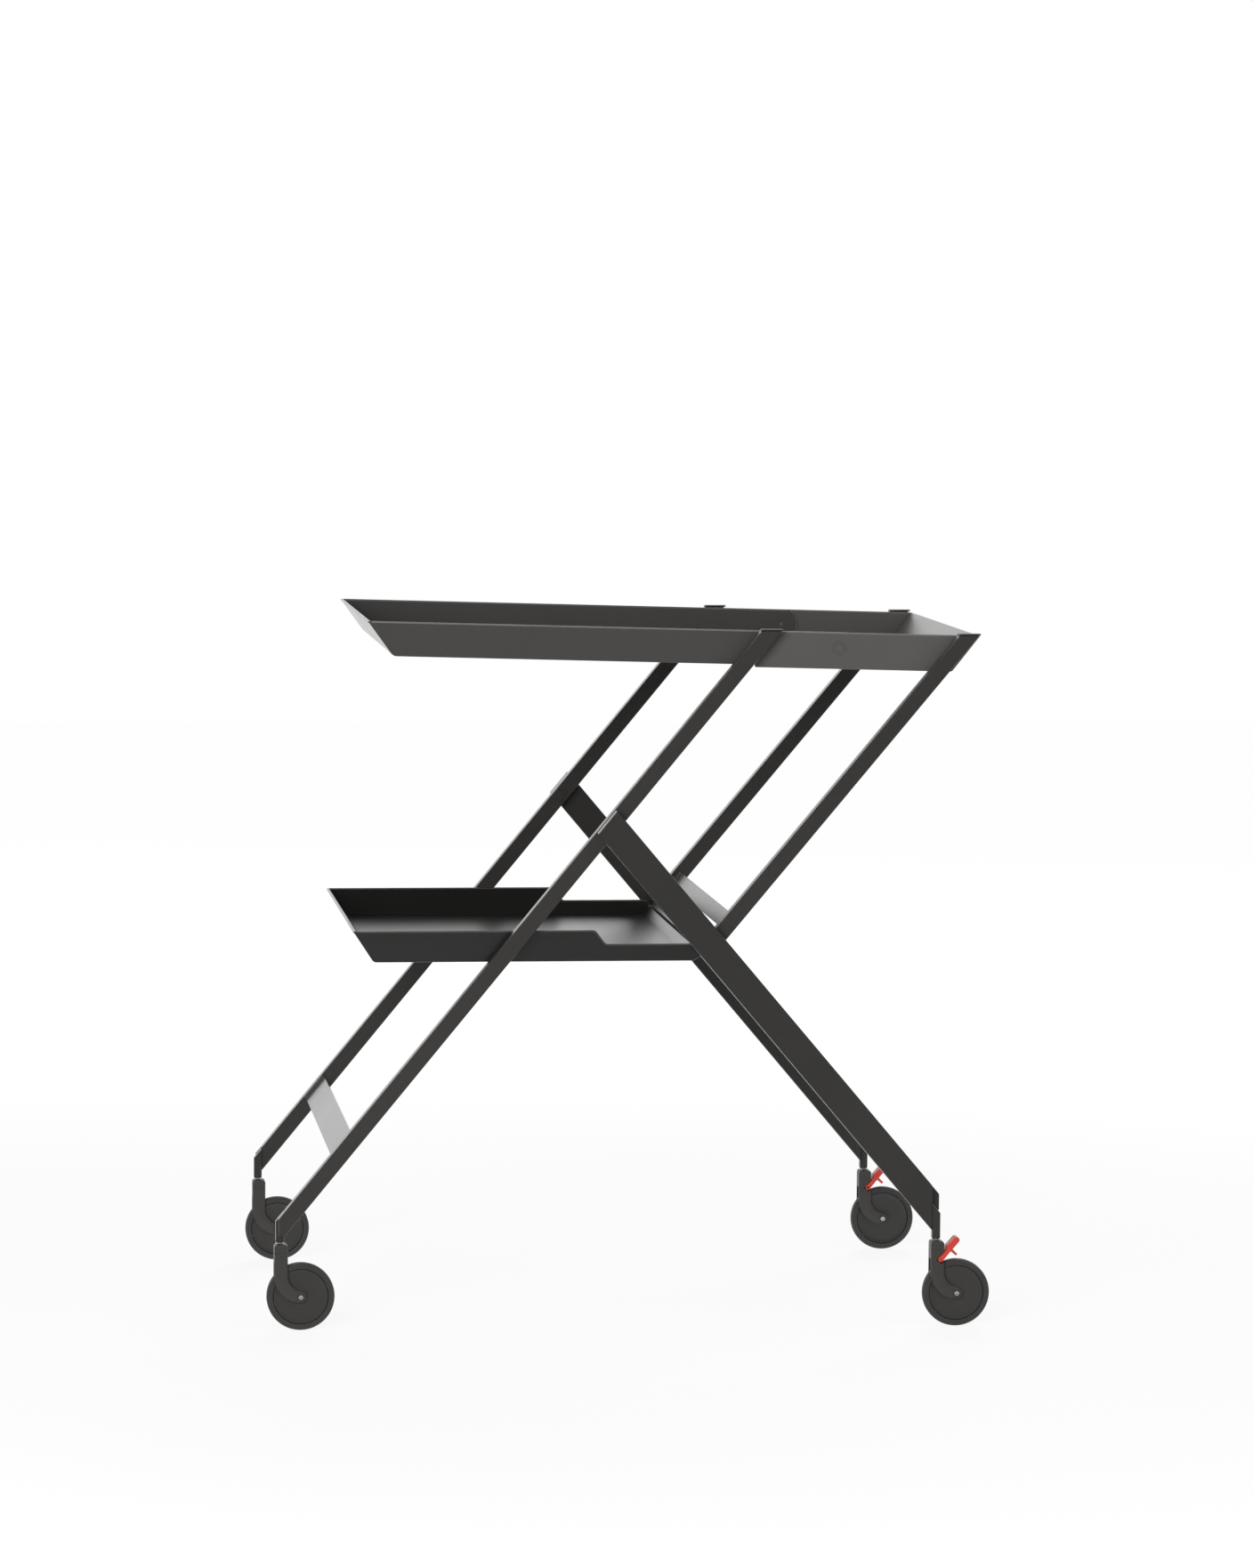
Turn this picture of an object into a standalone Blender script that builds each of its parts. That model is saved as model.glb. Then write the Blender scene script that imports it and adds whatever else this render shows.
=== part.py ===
"""Folding serving trolley: two trays on crossed legs that fold flat, on four swivel casters.

Lengths are in metres, +Z is up, +X points to the braked rear end and +Y to the right-hand side.
The side view (X, Z) carries the linkage, and the pieces lie side by side in layers along Y.
The origin is on the floor, under the middle of the box that holds the trolley.
"""

import math

import bmesh
import bpy
from mathutils import Vector

# Side view: the main pivot and the four stems
main_pivot_height = 0.4762
front_foot_centre_rise = 0.0138
rear_foot_centre_rise = 0.0250
bar_angle_deg = 50.74
leg_angle_deg = 49.67
tray_pivot_distance = 0.2186
leg_pivot_distance = 0.1488
lower_pivot_distance = 0.1476
lower_pivot_edge = 0.0038

# Bars, legs and struts
bar_width = 0.0150
bar_depth = 0.0130
leg_width = 0.0280
leg_depth = 0.0140
leg_pivot_edge = 0.0060
bar_edge_round = 0.0009
rabbet_share = 0.38
stem_drop_share = 0.608
rabbet_rise = 0.0200
leg_tongue = 0.0078
cap_thickness = 0.0014
cap_overhang = 0.0005

# Layers across the trolley, from the upper tray outwards
upper_tray_half_width = 0.1935
sheet = 0.0020
layer_gap = 0.0005
pivot_head_room = 0.0014
seat_gap = 0.0003
overrun = 0.0100

# Upper tray, measured along the tray from its pivot on the front bars
tray_tilt_deg = 1.3
tray_hinge_distance = 0.0866
tray_pivot_drop = 0.0090
tray_front_reach = 0.3654
tray_wall_above = 0.0147
tray_wall_below = 0.0180
tray_front_slant = 0.0250
tray_corner_round = 0.0070
tray_rear_corner_round = 0.0035
tray_edge_round = 0.0006
tray_floor_end = 0.1035
tray_rear_end = 0.1100
tray_rear_slant = 0.0265
tray_hinge_margin = 0.0005
rear_tray_tail_clearance = 0.0010
rear_tray_lip = 0.0070
strut_pivot_along = 0.1032
strut_pivot_drop = 0.0104

# Lower tray, measured from its pivot on the rear legs
lower_tray_clearance = 0.0010
lower_tray_front_reach = 0.3332
lower_tray_front_slant = 0.0196
lower_tray_floor_drop = 0.0100
lower_tray_wall = 0.0297
lower_tray_low_wall = 0.0164
lower_tray_notch_start = 0.1017
lower_tray_notch_slope = 0.0100
lower_tray_rear_setback = 0.0100
lower_tray_rear_slant = 0.0127
lower_tray_ear = 0.0055
lower_tray_ear_deg = 60.0
lower_tray_notch_top_round = 0.0028
lower_tray_notch_foot_round = 0.0014
lower_tray_ear_setback = 0.0032
lower_tray_corner_round = 0.0055

# Cross plates with upturned tabs
cross_plate_thickness = 0.0020
cross_plate_tab = 0.0030
front_plate_length = 0.0290
front_plate_from_foot = 0.0976
front_plate_rise = 0.0030
strut_plate_length = 0.0170
strut_plate_distance = 0.0280
strut_plate_rise = -0.0010

# Pivot pins
main_pin_radius = 0.0035
main_pin_head_radius = 0.0065
pin_head_thickness = 0.0007
tray_pin_radius = 0.0030
hinge_pin_radius = 0.0025
hinge_pin_head_radius = 0.0063
strut_pin_radius = 0.0030
lower_pin_radius = 0.0020
pin_clearance = 0.0003
pin_bite = 0.0066

# Casters
wheel_radius = 0.0325
tyre_thickness = 0.0060
tyre_width = 0.0104
tyre_round = 0.0028
core_rim_width = 0.0090
core_rim_band = 0.0022
core_web_width = 0.0064
hub_radius = 0.0060
trail = 0.0200
fork_crown = 0.0180
fork_front = 0.0054
fork_back = 0.0075
fork_width = 0.0165
fork_slot_width = 0.0116
fork_slot_head_room = 0.0005
fork_slot_front = 0.0012
wheel_clearance = 0.0015
fork_top_round = 0.0030
fork_outer_round = 0.0258
fork_outer_drop = 0.0305
fork_outer_end_deg = 262.0
fork_inner_round = 0.0150
fork_inner_drop = 0.0300
fork_eye_radius = 0.0054
fork_eye_start_deg = -85.0
fork_eye_end_deg = 75.0
slot_arch_end_deg = 20.0
fork_edge_round = 0.0007
axle_radius = 0.0024
axle_proud = 0.0004
stem_side = 0.0080
stem_edge_round = 0.0010
stem_standoff = 0.0019
stem_top_inset = 0.0005
swivel_pin_radius = 0.0026
swivel_pin_bite = 0.0100
front_stem_inset = 0.0006
front_cut_back = 0.0018
front_foot_rise = 0.0071

# Brake levers on the rear casters
lever_pivot_back = 0.0042
lever_pivot_drop = 0.0178
lever_angle_deg = 48.6
lever_length = 0.0270
lever_thickness = 0.0040
lever_pad_thickness = 0.0056
lever_pad_share = 0.45
lever_prong_at_share = 0.50
lever_prong_length = 0.0068
lever_prong_thickness = 0.0026
lever_width = 0.0148
lever_tongue_width = 0.0082
lever_side_gap = 0.0004
lever_heel = 0.0026
lever_pin_radius = 0.0010
lever_swing_deg = 13.0
lever_clearance = 0.0006

# Facets and edges
ARC_STEPS = 6
WHEEL_STEPS = 48
PIN_STEPS = 24
smooth_angle_deg = 30.0
ease_angle_deg = 40.0


# Helpers

def direction(degrees):
    """Unit vector in the side view, turned up from +X."""
    angle = math.radians(degrees)
    return Vector((math.cos(angle), math.sin(angle)))


def normal_of(vector):
    """The vector turned a quarter to its left."""
    return Vector((-vector.y, vector.x))


def arc(centre, radius, start_deg, end_deg, steps=ARC_STEPS):
    """Points along an arc of the side view."""
    turn = (end_deg - start_deg) / steps
    return [centre + radius * direction(start_deg + turn * i) for i in range(steps + 1)]


def rounded(corners):
    """An outline from (point, radius) corners, each sharp or swept by an arc that touches both sides."""
    points = []
    for i, (corner, radius) in enumerate(corners):
        if not radius:
            points.append(corner)
            continue
        before = (corners[i - 1][0] - corner).normalized()
        after = (corners[(i + 1) % len(corners)][0] - corner).normalized()
        half = before.angle(after) / 2
        centre = corner + (before + after).normalized() * radius / math.sin(half)
        start = corner + before * radius / math.tan(half) - centre
        end = corner + after * radius / math.tan(half) - centre
        first = math.degrees(math.atan2(start.y, start.x))
        turn = (math.degrees(math.atan2(end.y, end.x)) - first + 180) % 360 - 180
        points += arc(centre, radius, first, first + turn)
    return points


def meet(point_a, along_a, point_b, along_b):
    """Where two lines of the side view cross."""
    apart = point_b - point_a
    across = along_a.x * along_b.y - along_a.y * along_b.x
    return point_a + along_a * (apart.x * along_b.y - apart.y * along_b.x) / across


def material(name, colour, roughness, metallic):
    """A plain Principled material for one kind of piece."""
    made = bpy.data.materials.new(name)
    made.use_nodes = True
    shader = made.node_tree.nodes["Principled BSDF"]
    shader.inputs["Base Color"].default_value = (*colour, 1)
    shader.inputs["Roughness"].default_value = roughness
    shader.inputs["Metallic"].default_value = metallic
    made.diffuse_color = (*colour, 1)
    return made


def body(name, place, parent=None):
    """An empty on the joint axis of a moving body, at a point of the side view and a distance across."""
    empty = bpy.data.objects.new(name, None)
    empty.empty_display_size = main_pin_head_radius
    bpy.context.scene.collection.objects.link(empty)
    empty.location = place
    if parent:
        empty.parent = parent
        empty.location = Vector(place) - world_place(parent)
    return empty


def world_place(obj):
    """Where an object's origin is, found up its chain of parents."""
    place = Vector(obj.location)
    while obj.parent:
        obj = obj.parent
        place += obj.location
    return place


def new_object(name, mesh, holder, place, finish):
    """Links a mesh as one named piece held by a body, with its origin at the given place."""
    piece = bpy.data.objects.new(name, mesh)
    bpy.context.scene.collection.objects.link(piece)
    piece.parent = holder
    piece.location = Vector(place) - world_place(holder)
    if finish and not mesh.materials:
        mesh.materials.append(finish)
    return piece


def smooth(mesh):
    mesh.shade_smooth()
    mesh.set_sharp_from_angle(angle=math.radians(smooth_angle_deg))


def prism_mesh(name, outline, near, far):
    """A closed outline of the side view, filled between two distances across."""
    mesh = bpy.data.meshes.new(name)
    shape = bmesh.new()
    ring = [shape.verts.new((point.x, near, point.y)) for point in outline]
    face = shape.faces.new(ring)
    pushed = bmesh.ops.extrude_face_region(shape, geom=[face])
    moved = [item for item in pushed["geom"] if isinstance(item, bmesh.types.BMVert)]
    bmesh.ops.translate(shape, verts=moved, vec=(0, far - near, 0))
    bmesh.ops.recalc_face_normals(shape, faces=shape.faces)
    shape.to_mesh(mesh)
    shape.free()
    return mesh


def lathe_mesh(name, profile, upright=False, steps=WHEEL_STEPS, ring=False):
    """A turned shape from (radius, along) points, about Y or, if upright, about Z.

    A ring closes its profile on itself, and a plain shape closes its first and last circle with a face.
    """
    mesh = bpy.data.meshes.new(name)
    shape = bmesh.new()
    circles = []
    for radius, along in profile:
        circle = []
        for i in range(steps):
            angle = math.tau * i / steps
            side, up = radius * math.cos(angle), radius * math.sin(angle)
            circle.append(shape.verts.new((side, up, along) if upright else (side, along, up)))
        circles.append(circle)
    pairs = list(zip(circles, circles[1:]))
    if ring:
        pairs.append((circles[-1], circles[0]))
    for lower, upper in pairs:
        for i in range(steps):
            j = (i + 1) % steps
            shape.faces.new((lower[i], lower[j], upper[j], upper[i]))
    if not ring:
        shape.faces.new(circles[0])
        shape.faces.new(circles[-1])
    bmesh.ops.recalc_face_normals(shape, faces=shape.faces)
    shape.to_mesh(mesh)
    shape.free()
    smooth(mesh)
    return mesh


def moved_outline(outline, place):
    """The outline as seen from a point of the side view."""
    return [point - place for point in outline]


def bar_piece(name, outline, near, far, holder, finish, edge_round=bar_edge_round):
    """A flat-sided piece of the linkage, its long edges eased."""
    middle = (near + far) / 2
    axis = world_place(holder)
    local = moved_outline(outline, Vector((axis.x, axis.z)))
    mesh = prism_mesh(name, local, near - middle, far - middle)
    piece = new_object(name, mesh, holder, (axis.x, middle, axis.z), finish)
    if edge_round:
        ease(piece, edge_round)
    return piece


def ease(piece, width):
    """Rounds the edges of a piece."""
    bevel = piece.modifiers.new("Eased edges", "BEVEL")
    bevel.width = width
    bevel.segments = 2
    bevel.limit_method = "ANGLE"
    bevel.angle_limit = math.radians(ease_angle_deg)
    bevel.use_clamp_overlap = True


def cut(piece, cutter):
    """Takes a hidden shape out of a piece."""
    cutter.hide_render = True
    cutter.display_type = "WIRE"
    taken = piece.modifiers.new(f"Cut by {cutter.name}", "BOOLEAN")
    taken.operation = "DIFFERENCE"
    taken.object = cutter


def cutter_object(name, mesh):
    cutter = bpy.data.objects.new(name, mesh)
    bpy.context.scene.collection.objects.link(cutter)
    return cutter


def drill(piece, place, radius, near, far):
    """A round hole across the trolley, at a point of the side view."""
    low, high = min(near, far), max(near, far)
    mesh = lathe_mesh("drill", [(radius, low), (radius, high)], steps=PIN_STEPS)
    cutter = cutter_object(f"{piece.name}_drill_{len(piece.modifiers)}", mesh)
    cutter.location = (place.x, 0, place.y)
    cut(piece, cutter)


def carve(piece, outline, near, far):
    """Takes a filled outline out of a piece."""
    low, high = min(near, far), max(near, far)
    mesh = prism_mesh("carve", outline, low, high)
    cut(piece, cutter_object(f"{piece.name}_carve_{len(piece.modifiers)}", mesh))


def pin(name, place, side, spans, holder, finish):
    """A turned pin across the trolley, from (radius, inner, outer) spans listed outwards from the middle."""
    profile = []
    for radius, inner, outer in spans:
        profile += [(radius, side * inner), (radius, side * outer)]
    mesh = lathe_mesh(name, profile, steps=PIN_STEPS)
    return new_object(name, mesh, holder, (place.x, 0, place.y), finish)


# Finishes
paint_bar = material("satin black paint, bars", (0.040, 0.038, 0.036), 0.42, 0.0)
paint_leg = material("satin black paint, legs", (0.036, 0.035, 0.033), 0.42, 0.0)
paint_strut = material("satin black paint, struts", (0.042, 0.040, 0.038), 0.42, 0.0)
paint_tray = material("satin black paint, trays", (0.052, 0.050, 0.047), 0.38, 0.0)
paint_plate = material("satin black paint, cross plates", (0.056, 0.054, 0.051), 0.36, 0.0)
black_cap = material("black plastic caps", (0.030, 0.029, 0.028), 0.55, 0.0)
black_nylon = material("black nylon forks", (0.050, 0.049, 0.046), 0.50, 0.0)
black_core = material("black nylon wheel cores", (0.048, 0.046, 0.045), 0.55, 0.0)
black_tyre = material("black rubber tyres", (0.044, 0.044, 0.043), 0.70, 0.0)
bright_steel = material("bright steel", (0.60, 0.60, 0.58), 0.25, 1.0)
dark_pin = material("blackened steel pins", (0.045, 0.043, 0.041), 0.40, 0.6)
red_nylon = material("red nylon levers", (0.62, 0.065, 0.045), 0.40, 0.0)

# Layers across
front_inner = upper_tray_half_width
rear_tray_inner = upper_tray_half_width + layer_gap
rear_tray_outer = rear_tray_inner + sheet
bar_inner = rear_tray_outer + pivot_head_room
bar_outer = bar_inner + bar_depth
leg_inner = bar_outer + layer_gap
leg_outer = leg_inner + leg_depth
front_stem_offset = bar_inner + front_stem_inset
lower_tray_half_width = bar_inner - lower_tray_clearance
leg_rabbet = leg_inner + leg_depth * rabbet_share
rear_stem_offset = leg_rabbet + seat_gap + stem_side / 2

# Places of the linkage in the side view
fork_height = 2 * wheel_radius + fork_crown
fork_slot_height = 2 * wheel_radius + fork_slot_head_room
fork_outer_height = fork_height - fork_outer_drop
fork_inner_height = fork_height - fork_inner_drop
lever_pivot_height = fork_height - lever_pivot_drop
stem_base = fork_height + stem_standoff
foot_height = stem_base + front_foot_rise
bar_line = direction(bar_angle_deg)
leg_line = direction(-leg_angle_deg)
leg_offset = leg_width / 2 - leg_pivot_edge
leg_side = normal_of(leg_line)
bar_side = normal_of(bar_line)

# The stems stand where the bars and legs come down to them.
# The origin is halfway between the far sides of the front and the rear wheels.
front_foot_drop = main_pivot_height - stem_base - front_foot_centre_rise
rear_foot_drop = main_pivot_height + leg_side.y * leg_offset - stem_base - rear_foot_centre_rise
front_stem_setback = front_foot_drop * bar_line.x / bar_line.y
front_plate_distance = front_foot_drop / bar_line.y - front_plate_from_foot
rear_stem_reach = rear_foot_drop * leg_line.x / -leg_line.y + leg_side.x * leg_offset
centre_x = (rear_stem_reach - front_stem_setback) / 2 + trail
main_pivot = Vector((-centre_x, main_pivot_height))
front_stem_x = main_pivot.x - front_stem_setback
rear_stem_x = main_pivot.x + rear_stem_reach

tray_pivot = main_pivot + bar_line * tray_pivot_distance
tray_line = direction(-tray_tilt_deg)
tray_up = normal_of(tray_line)
tray_hinge = tray_pivot + tray_line * tray_hinge_distance + tray_up * tray_pivot_drop
strut_top_pivot = tray_hinge + tray_line * strut_pivot_along - tray_up * strut_pivot_drop
leg_pivot = main_pivot + leg_line * leg_pivot_distance + leg_side * leg_offset
lower_pivot_offset = lower_pivot_edge - leg_pivot_edge
lower_pivot = main_pivot + leg_line * lower_pivot_distance + leg_side * lower_pivot_offset
strut_line = (strut_top_pivot - leg_pivot).normalized()
strut_side = normal_of(strut_line)


def at_tray(along, up):
    """A point of the upper tray, measured along it from the hinge and up from its centre line."""
    return tray_hinge + tray_line * along + tray_up * up


def at_lower_tray(along, up):
    """A point of the lower tray, measured level and up from its pivot."""
    return lower_pivot + Vector((along, up))


def cut_height(pivot):
    """The level of a bar's top end: just over the tray wall that it stands beside."""
    return (pivot + tray_up * (tray_wall_above + (tray_hinge - pivot).dot(tray_up))).y


# Front frame: two long bars, a cross plate and two stems

def bar_outline(base, line, side, width, level):
    """A bar from its base point up to a level cut."""
    left, right = base + side * width / 2, base - side * width / 2
    level_point = Vector((0, level))
    level_line = Vector((1, 0))
    return left, meet(left, line, level_point, level_line), meet(right, line, level_point, level_line), right


def front_bar(side_name, side, holder):
    level = cut_height(tray_pivot)
    cut_x = Vector((front_stem_x - front_cut_back, 0))
    upright = Vector((0, 1))
    left, top_left, top_right, right = bar_outline(main_pivot, bar_line, bar_side, bar_width, level)
    low_left = meet(left, bar_line, cut_x, upright)
    foot = Vector((cut_x.x, foot_height))
    outline = [low_left, top_left, top_right, meet(right, bar_line, foot, Vector((1, 0))), foot]
    near, far = sorted((side * bar_inner, side * bar_outer))
    bar = bar_piece(f"front_bar_{side_name}", outline, near, far, holder, paint_bar)
    rabbet_x = front_stem_x + stem_side / 2 + seat_gap
    rabbet_top = low_left.y + rabbet_rise
    rabbet = [
        Vector((cut_x.x - overrun, stem_base)), Vector((cut_x.x - overrun, rabbet_top)),
        Vector((rabbet_x, rabbet_top)), Vector((rabbet_x, stem_base)),
    ]
    rabbet_depth = front_stem_offset + stem_side / 2 + seat_gap
    carve(bar, rabbet, side * (bar_inner - overrun), side * rabbet_depth)
    pin_end = bar_inner + pin_bite
    hole_start = side * (bar_inner - overrun)
    drill(bar, main_pivot, main_pin_radius + pin_clearance, hole_start, side * (bar_outer + overrun))
    drill(bar, tray_pivot, tray_pin_radius + pin_clearance, hole_start, side * pin_end)
    cap(f"front_bar_cap_{side_name}", top_left, top_right, bar_line, near, far, holder)
    return low_left


def cap(name, left, right, line, near, far, holder):
    """A thin plastic cap over a bar's level top end."""
    lift = Vector((0, seat_gap))
    thick = line * cap_thickness / line.y
    over = Vector((cap_overhang, 0))
    low_left, low_right = left + lift - over, right + lift + over
    outline = [low_left, low_left + thick, low_right + thick, low_right]
    bar_piece(name, outline, near, far, holder, black_cap, edge_round=0)


def stem(name, stem_x, middle, slope, top_left, holder, finish):
    """A square stem whose top follows the slope of the bar that it is let into."""
    left_x, right_x = stem_x - stem_side / 2, stem_x + stem_side / 2
    upright = Vector((0, 1))
    outline = [
        Vector((left_x, stem_base)),
        meet(top_left, slope, Vector((left_x, 0)), upright),
        meet(top_left, slope, Vector((right_x, 0)), upright),
        Vector((right_x, stem_base)),
    ]
    near, far = middle - stem_side / 2, middle + stem_side / 2
    piece = bar_piece(name, outline, near, far, holder, finish, edge_round=stem_edge_round)
    hole = lathe_mesh(
        f"{name}_hole",
        [
            (swivel_pin_radius + pin_clearance, stem_base - overrun),
            (swivel_pin_radius + pin_clearance, stem_base + swivel_pin_bite + pin_clearance),
        ],
        upright=True,
        steps=PIN_STEPS,
    )
    cutter = cutter_object(f"{name}_bore", hole)
    cutter.location = (stem_x, middle, 0)
    cut(piece, cutter)


def cross_plate(name, start, line, side, length, rise, holder, finish):
    """A flat plate between two bars, its ends turned up against their inner faces."""
    half = bar_inner - seat_gap
    low, high = rise, rise + cross_plate_thickness
    tab_top = high + cross_plate_tab
    section = [
        (-half, low), (half, low), (half, tab_top), (half - cross_plate_thickness, tab_top),
        (half - cross_plate_thickness, high), (cross_plate_thickness - half, high),
        (cross_plate_thickness - half, tab_top), (-half, tab_top),
    ]
    axis = world_place(holder)
    mesh = bpy.data.meshes.new(name)
    shape = bmesh.new()
    ring = []
    for across, up in section:
        point = start + side * up - Vector((axis.x, axis.z))
        ring.append(shape.verts.new((point.x, across, point.y)))
    face = shape.faces.new(ring)
    pushed = bmesh.ops.extrude_face_region(shape, geom=[face])
    moved = [item for item in pushed["geom"] if isinstance(item, bmesh.types.BMVert)]
    push = line * length
    bmesh.ops.translate(shape, verts=moved, vec=(push.x, 0, push.y))
    bmesh.ops.recalc_face_normals(shape, faces=shape.faces)
    shape.to_mesh(mesh)
    shape.free()
    return new_object(name, mesh, holder, (axis.x, 0, axis.z), finish)


def front_frame():
    holder = body("front_frame_axis", (main_pivot.x, 0, main_pivot.y))
    for side_name, side in SIDES:
        low_left = front_bar(side_name, side, holder)
        stem(
            f"front_stem_{side_name}", front_stem_x, side * front_stem_offset, bar_line,
            low_left - Vector((0, stem_top_inset)), holder, paint_bar,
        )
        pin(
            f"main_pivot_pin_{side_name}", main_pivot, side,
            [
                (main_pin_head_radius, bar_inner - seat_gap - pin_head_thickness, bar_inner - seat_gap),
                (main_pin_radius, bar_inner - seat_gap, leg_inner + pin_bite),
            ],
            holder, dark_pin,
        )
        pin(
            f"tray_pivot_pin_{side_name}", tray_pivot, side,
            [(tray_pin_radius, front_inner - sheet, bar_inner + pin_bite - seat_gap)],
            holder, dark_pin,
        )
    plate_start = main_pivot - bar_line * (front_plate_distance + front_plate_length / 2)
    cross_plate(
        "front_cross_plate", plate_start, bar_line, bar_side,
        front_plate_length, front_plate_rise - cross_plate_thickness / 2, holder, paint_plate,
    )
    return holder


# Rear legs with their stems

def rear_leg(side_name, side, holder):
    tongue_x = Vector((rear_stem_x - stem_side / 2 + leg_tongue, 0))
    upright = Vector((0, 1))
    upper = main_pivot + leg_side * (leg_width - leg_pivot_edge)
    lower = main_pivot - leg_side * leg_pivot_edge
    end = main_pivot + bar_side * (bar_width / 2 - cap_overhang)
    outline = [
        meet(lower, leg_line, end, bar_line),
        meet(upper, leg_line, end, bar_line),
        meet(upper, leg_line, tongue_x, upright),
        meet(lower, leg_line, tongue_x, upright),
    ]
    near, far = sorted((side * leg_inner, side * leg_outer))
    leg = bar_piece(f"rear_leg_{side_name}", outline, near, far, holder, paint_leg)
    face_x = rear_stem_x - stem_side / 2 - seat_gap
    low, high = stem_base - leg_width, outline[2].y + leg_width
    rabbet = [
        Vector((face_x, low)), Vector((face_x, high)),
        Vector((tongue_x.x + overrun, high)), Vector((tongue_x.x + overrun, low)),
    ]
    carve(leg, rabbet, side * leg_rabbet, side * (leg_outer + overrun))
    stem_top = meet(upper, leg_line, Vector((face_x, 0)), upright) - Vector((0, leg_width * stem_drop_share))
    tongue_low = stem_top.y - stem_side
    carve(
        leg,
        [
            Vector((face_x, low)), Vector((face_x, tongue_low)),
            Vector((tongue_x.x + overrun, tongue_low)), Vector((tongue_x.x + overrun, low)),
        ],
        side * (leg_inner - overrun), side * (leg_outer + overrun),
    )
    holes = ((main_pivot, main_pin_radius), (leg_pivot, strut_pin_radius), (lower_pivot, lower_pin_radius))
    for place, radius in holes:
        drill(
            leg, place, radius + pin_clearance,
            side * (leg_inner - overrun), side * (leg_inner + pin_bite + seat_gap),
        )
    return stem_top


def rear_legs(parent):
    holder = body("rear_legs_axis", (main_pivot.x, 0, main_pivot.y), parent)
    for side_name, side in SIDES:
        stem_top = rear_leg(side_name, side, holder)
        stem(
            f"rear_stem_{side_name}", rear_stem_x, side * rear_stem_offset, leg_line,
            stem_top, holder, paint_leg,
        )
        pin(
            f"strut_foot_pin_{side_name}", leg_pivot, side,
            [(strut_pin_radius, bar_inner, leg_inner + pin_bite)], holder, dark_pin,
        )
        pin(
            f"lower_tray_pin_{side_name}", lower_pivot, side,
            [(lower_pin_radius, lower_tray_half_width - sheet, leg_inner + pin_bite)], holder, dark_pin,
        )
    return holder


# Rear struts and their cross plate

def rear_struts(parent):
    holder = body("rear_struts_axis", (leg_pivot.x, 0, leg_pivot.y), parent)
    level = cut_height(strut_top_pivot)
    foot_turn = math.degrees(math.atan2(strut_side.y, strut_side.x))
    for side_name, side in SIDES:
        _, top_left, top_right, _ = bar_outline(leg_pivot, strut_line, strut_side, bar_width, level)
        outline = [top_left, top_right] + arc(
            leg_pivot, bar_width / 2, foot_turn - 180, foot_turn - 360, steps=ARC_STEPS * 2
        )
        near, far = sorted((side * bar_inner, side * bar_outer))
        strut = bar_piece(f"rear_strut_{side_name}", outline, near, far, holder, paint_strut)
        drill(
            strut, leg_pivot, strut_pin_radius + pin_clearance,
            side * (bar_inner - overrun), side * (bar_outer + overrun),
        )
        drill(
            strut, strut_top_pivot, strut_pin_radius + pin_clearance,
            side * (bar_inner - overrun), side * (bar_inner + pin_bite),
        )
        cap(f"rear_strut_cap_{side_name}", top_left, top_right, strut_line, near, far, holder)
        pin(
            f"strut_head_pin_{side_name}", strut_top_pivot, side,
            [(strut_pin_radius, rear_tray_outer + seat_gap, bar_inner + pin_bite - seat_gap)], holder, dark_pin,
        )
    cross_plate(
        "strut_cross_plate", leg_pivot + strut_line * (strut_plate_distance - strut_plate_length / 2),
        strut_line, strut_side, strut_plate_length,
        strut_plate_rise - cross_plate_thickness / 2, holder, paint_plate,
    )
    return holder


# Upper tray: a long front part, and a rear frame hinged to it

def tray_piece(name, outline, half_width, holder):
    return bar_piece(name, outline, -half_width, half_width, holder, paint_tray, edge_round=tray_edge_round)


def drill_across(piece, place, radius, half_width):
    drill(piece, place, radius, -half_width - overrun, half_width + overrun)


def top_tray_front(parent):
    holder = body("top_tray_front_axis", (tray_pivot.x, 0, tray_pivot.y), parent)
    front = -tray_hinge_distance - tray_front_reach
    below = -tray_wall_below
    floor_top = below + sheet
    end_round = max(tray_wall_above, -floor_top) + tray_hinge_margin
    top_turn = math.degrees(math.asin(tray_wall_above / end_round))
    floor_turn = math.degrees(math.asin(floor_top / end_round))
    end_arc = arc(Vector((0, 0)), end_round, top_turn, floor_turn, steps=ARC_STEPS * 2)
    corners = [(at_tray(front, tray_wall_above), 0)]
    corners += [(at_tray(point.x, point.y), 0) for point in end_arc]
    corners += [
        (at_tray(tray_floor_end, floor_top), 0),
        (at_tray(tray_floor_end, below), 0),
        (at_tray(front + tray_front_slant, below), tray_corner_round),
    ]
    piece = tray_piece("top_tray_front", rounded(corners), front_inner, holder)
    slant = (at_tray(front + tray_front_slant, below) - at_tray(front, tray_wall_above)).normalized()
    inset = normal_of(slant) * sheet
    inner_top = meet(
        at_tray(front, tray_wall_above) + inset, slant, at_tray(0, tray_wall_above + overrun), tray_line
    )
    inner_low = meet(at_tray(front, tray_wall_above) + inset, slant, at_tray(0, floor_top), tray_line)
    inside = rounded([
        (inner_top, 0),
        (at_tray(tray_floor_end + overrun, tray_wall_above + overrun), 0),
        (at_tray(tray_floor_end + overrun, floor_top), 0),
        (inner_low, tray_corner_round - sheet),
    ])
    carve(piece, inside, -(front_inner - sheet), front_inner - sheet)
    drill_across(piece, tray_pivot, tray_pin_radius + pin_clearance, front_inner)
    drill_across(piece, tray_hinge, hinge_pin_radius + pin_clearance, front_inner)
    for side_name, side in SIDES:
        head = rear_tray_outer + seat_gap
        pin(
            f"tray_hinge_pin_{side_name}", tray_hinge, side,
            [
                (hinge_pin_radius, front_inner - sheet, head),
                (hinge_pin_head_radius, head, head + pin_head_thickness),
            ],
            holder, dark_pin,
        )
    return holder


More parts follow.
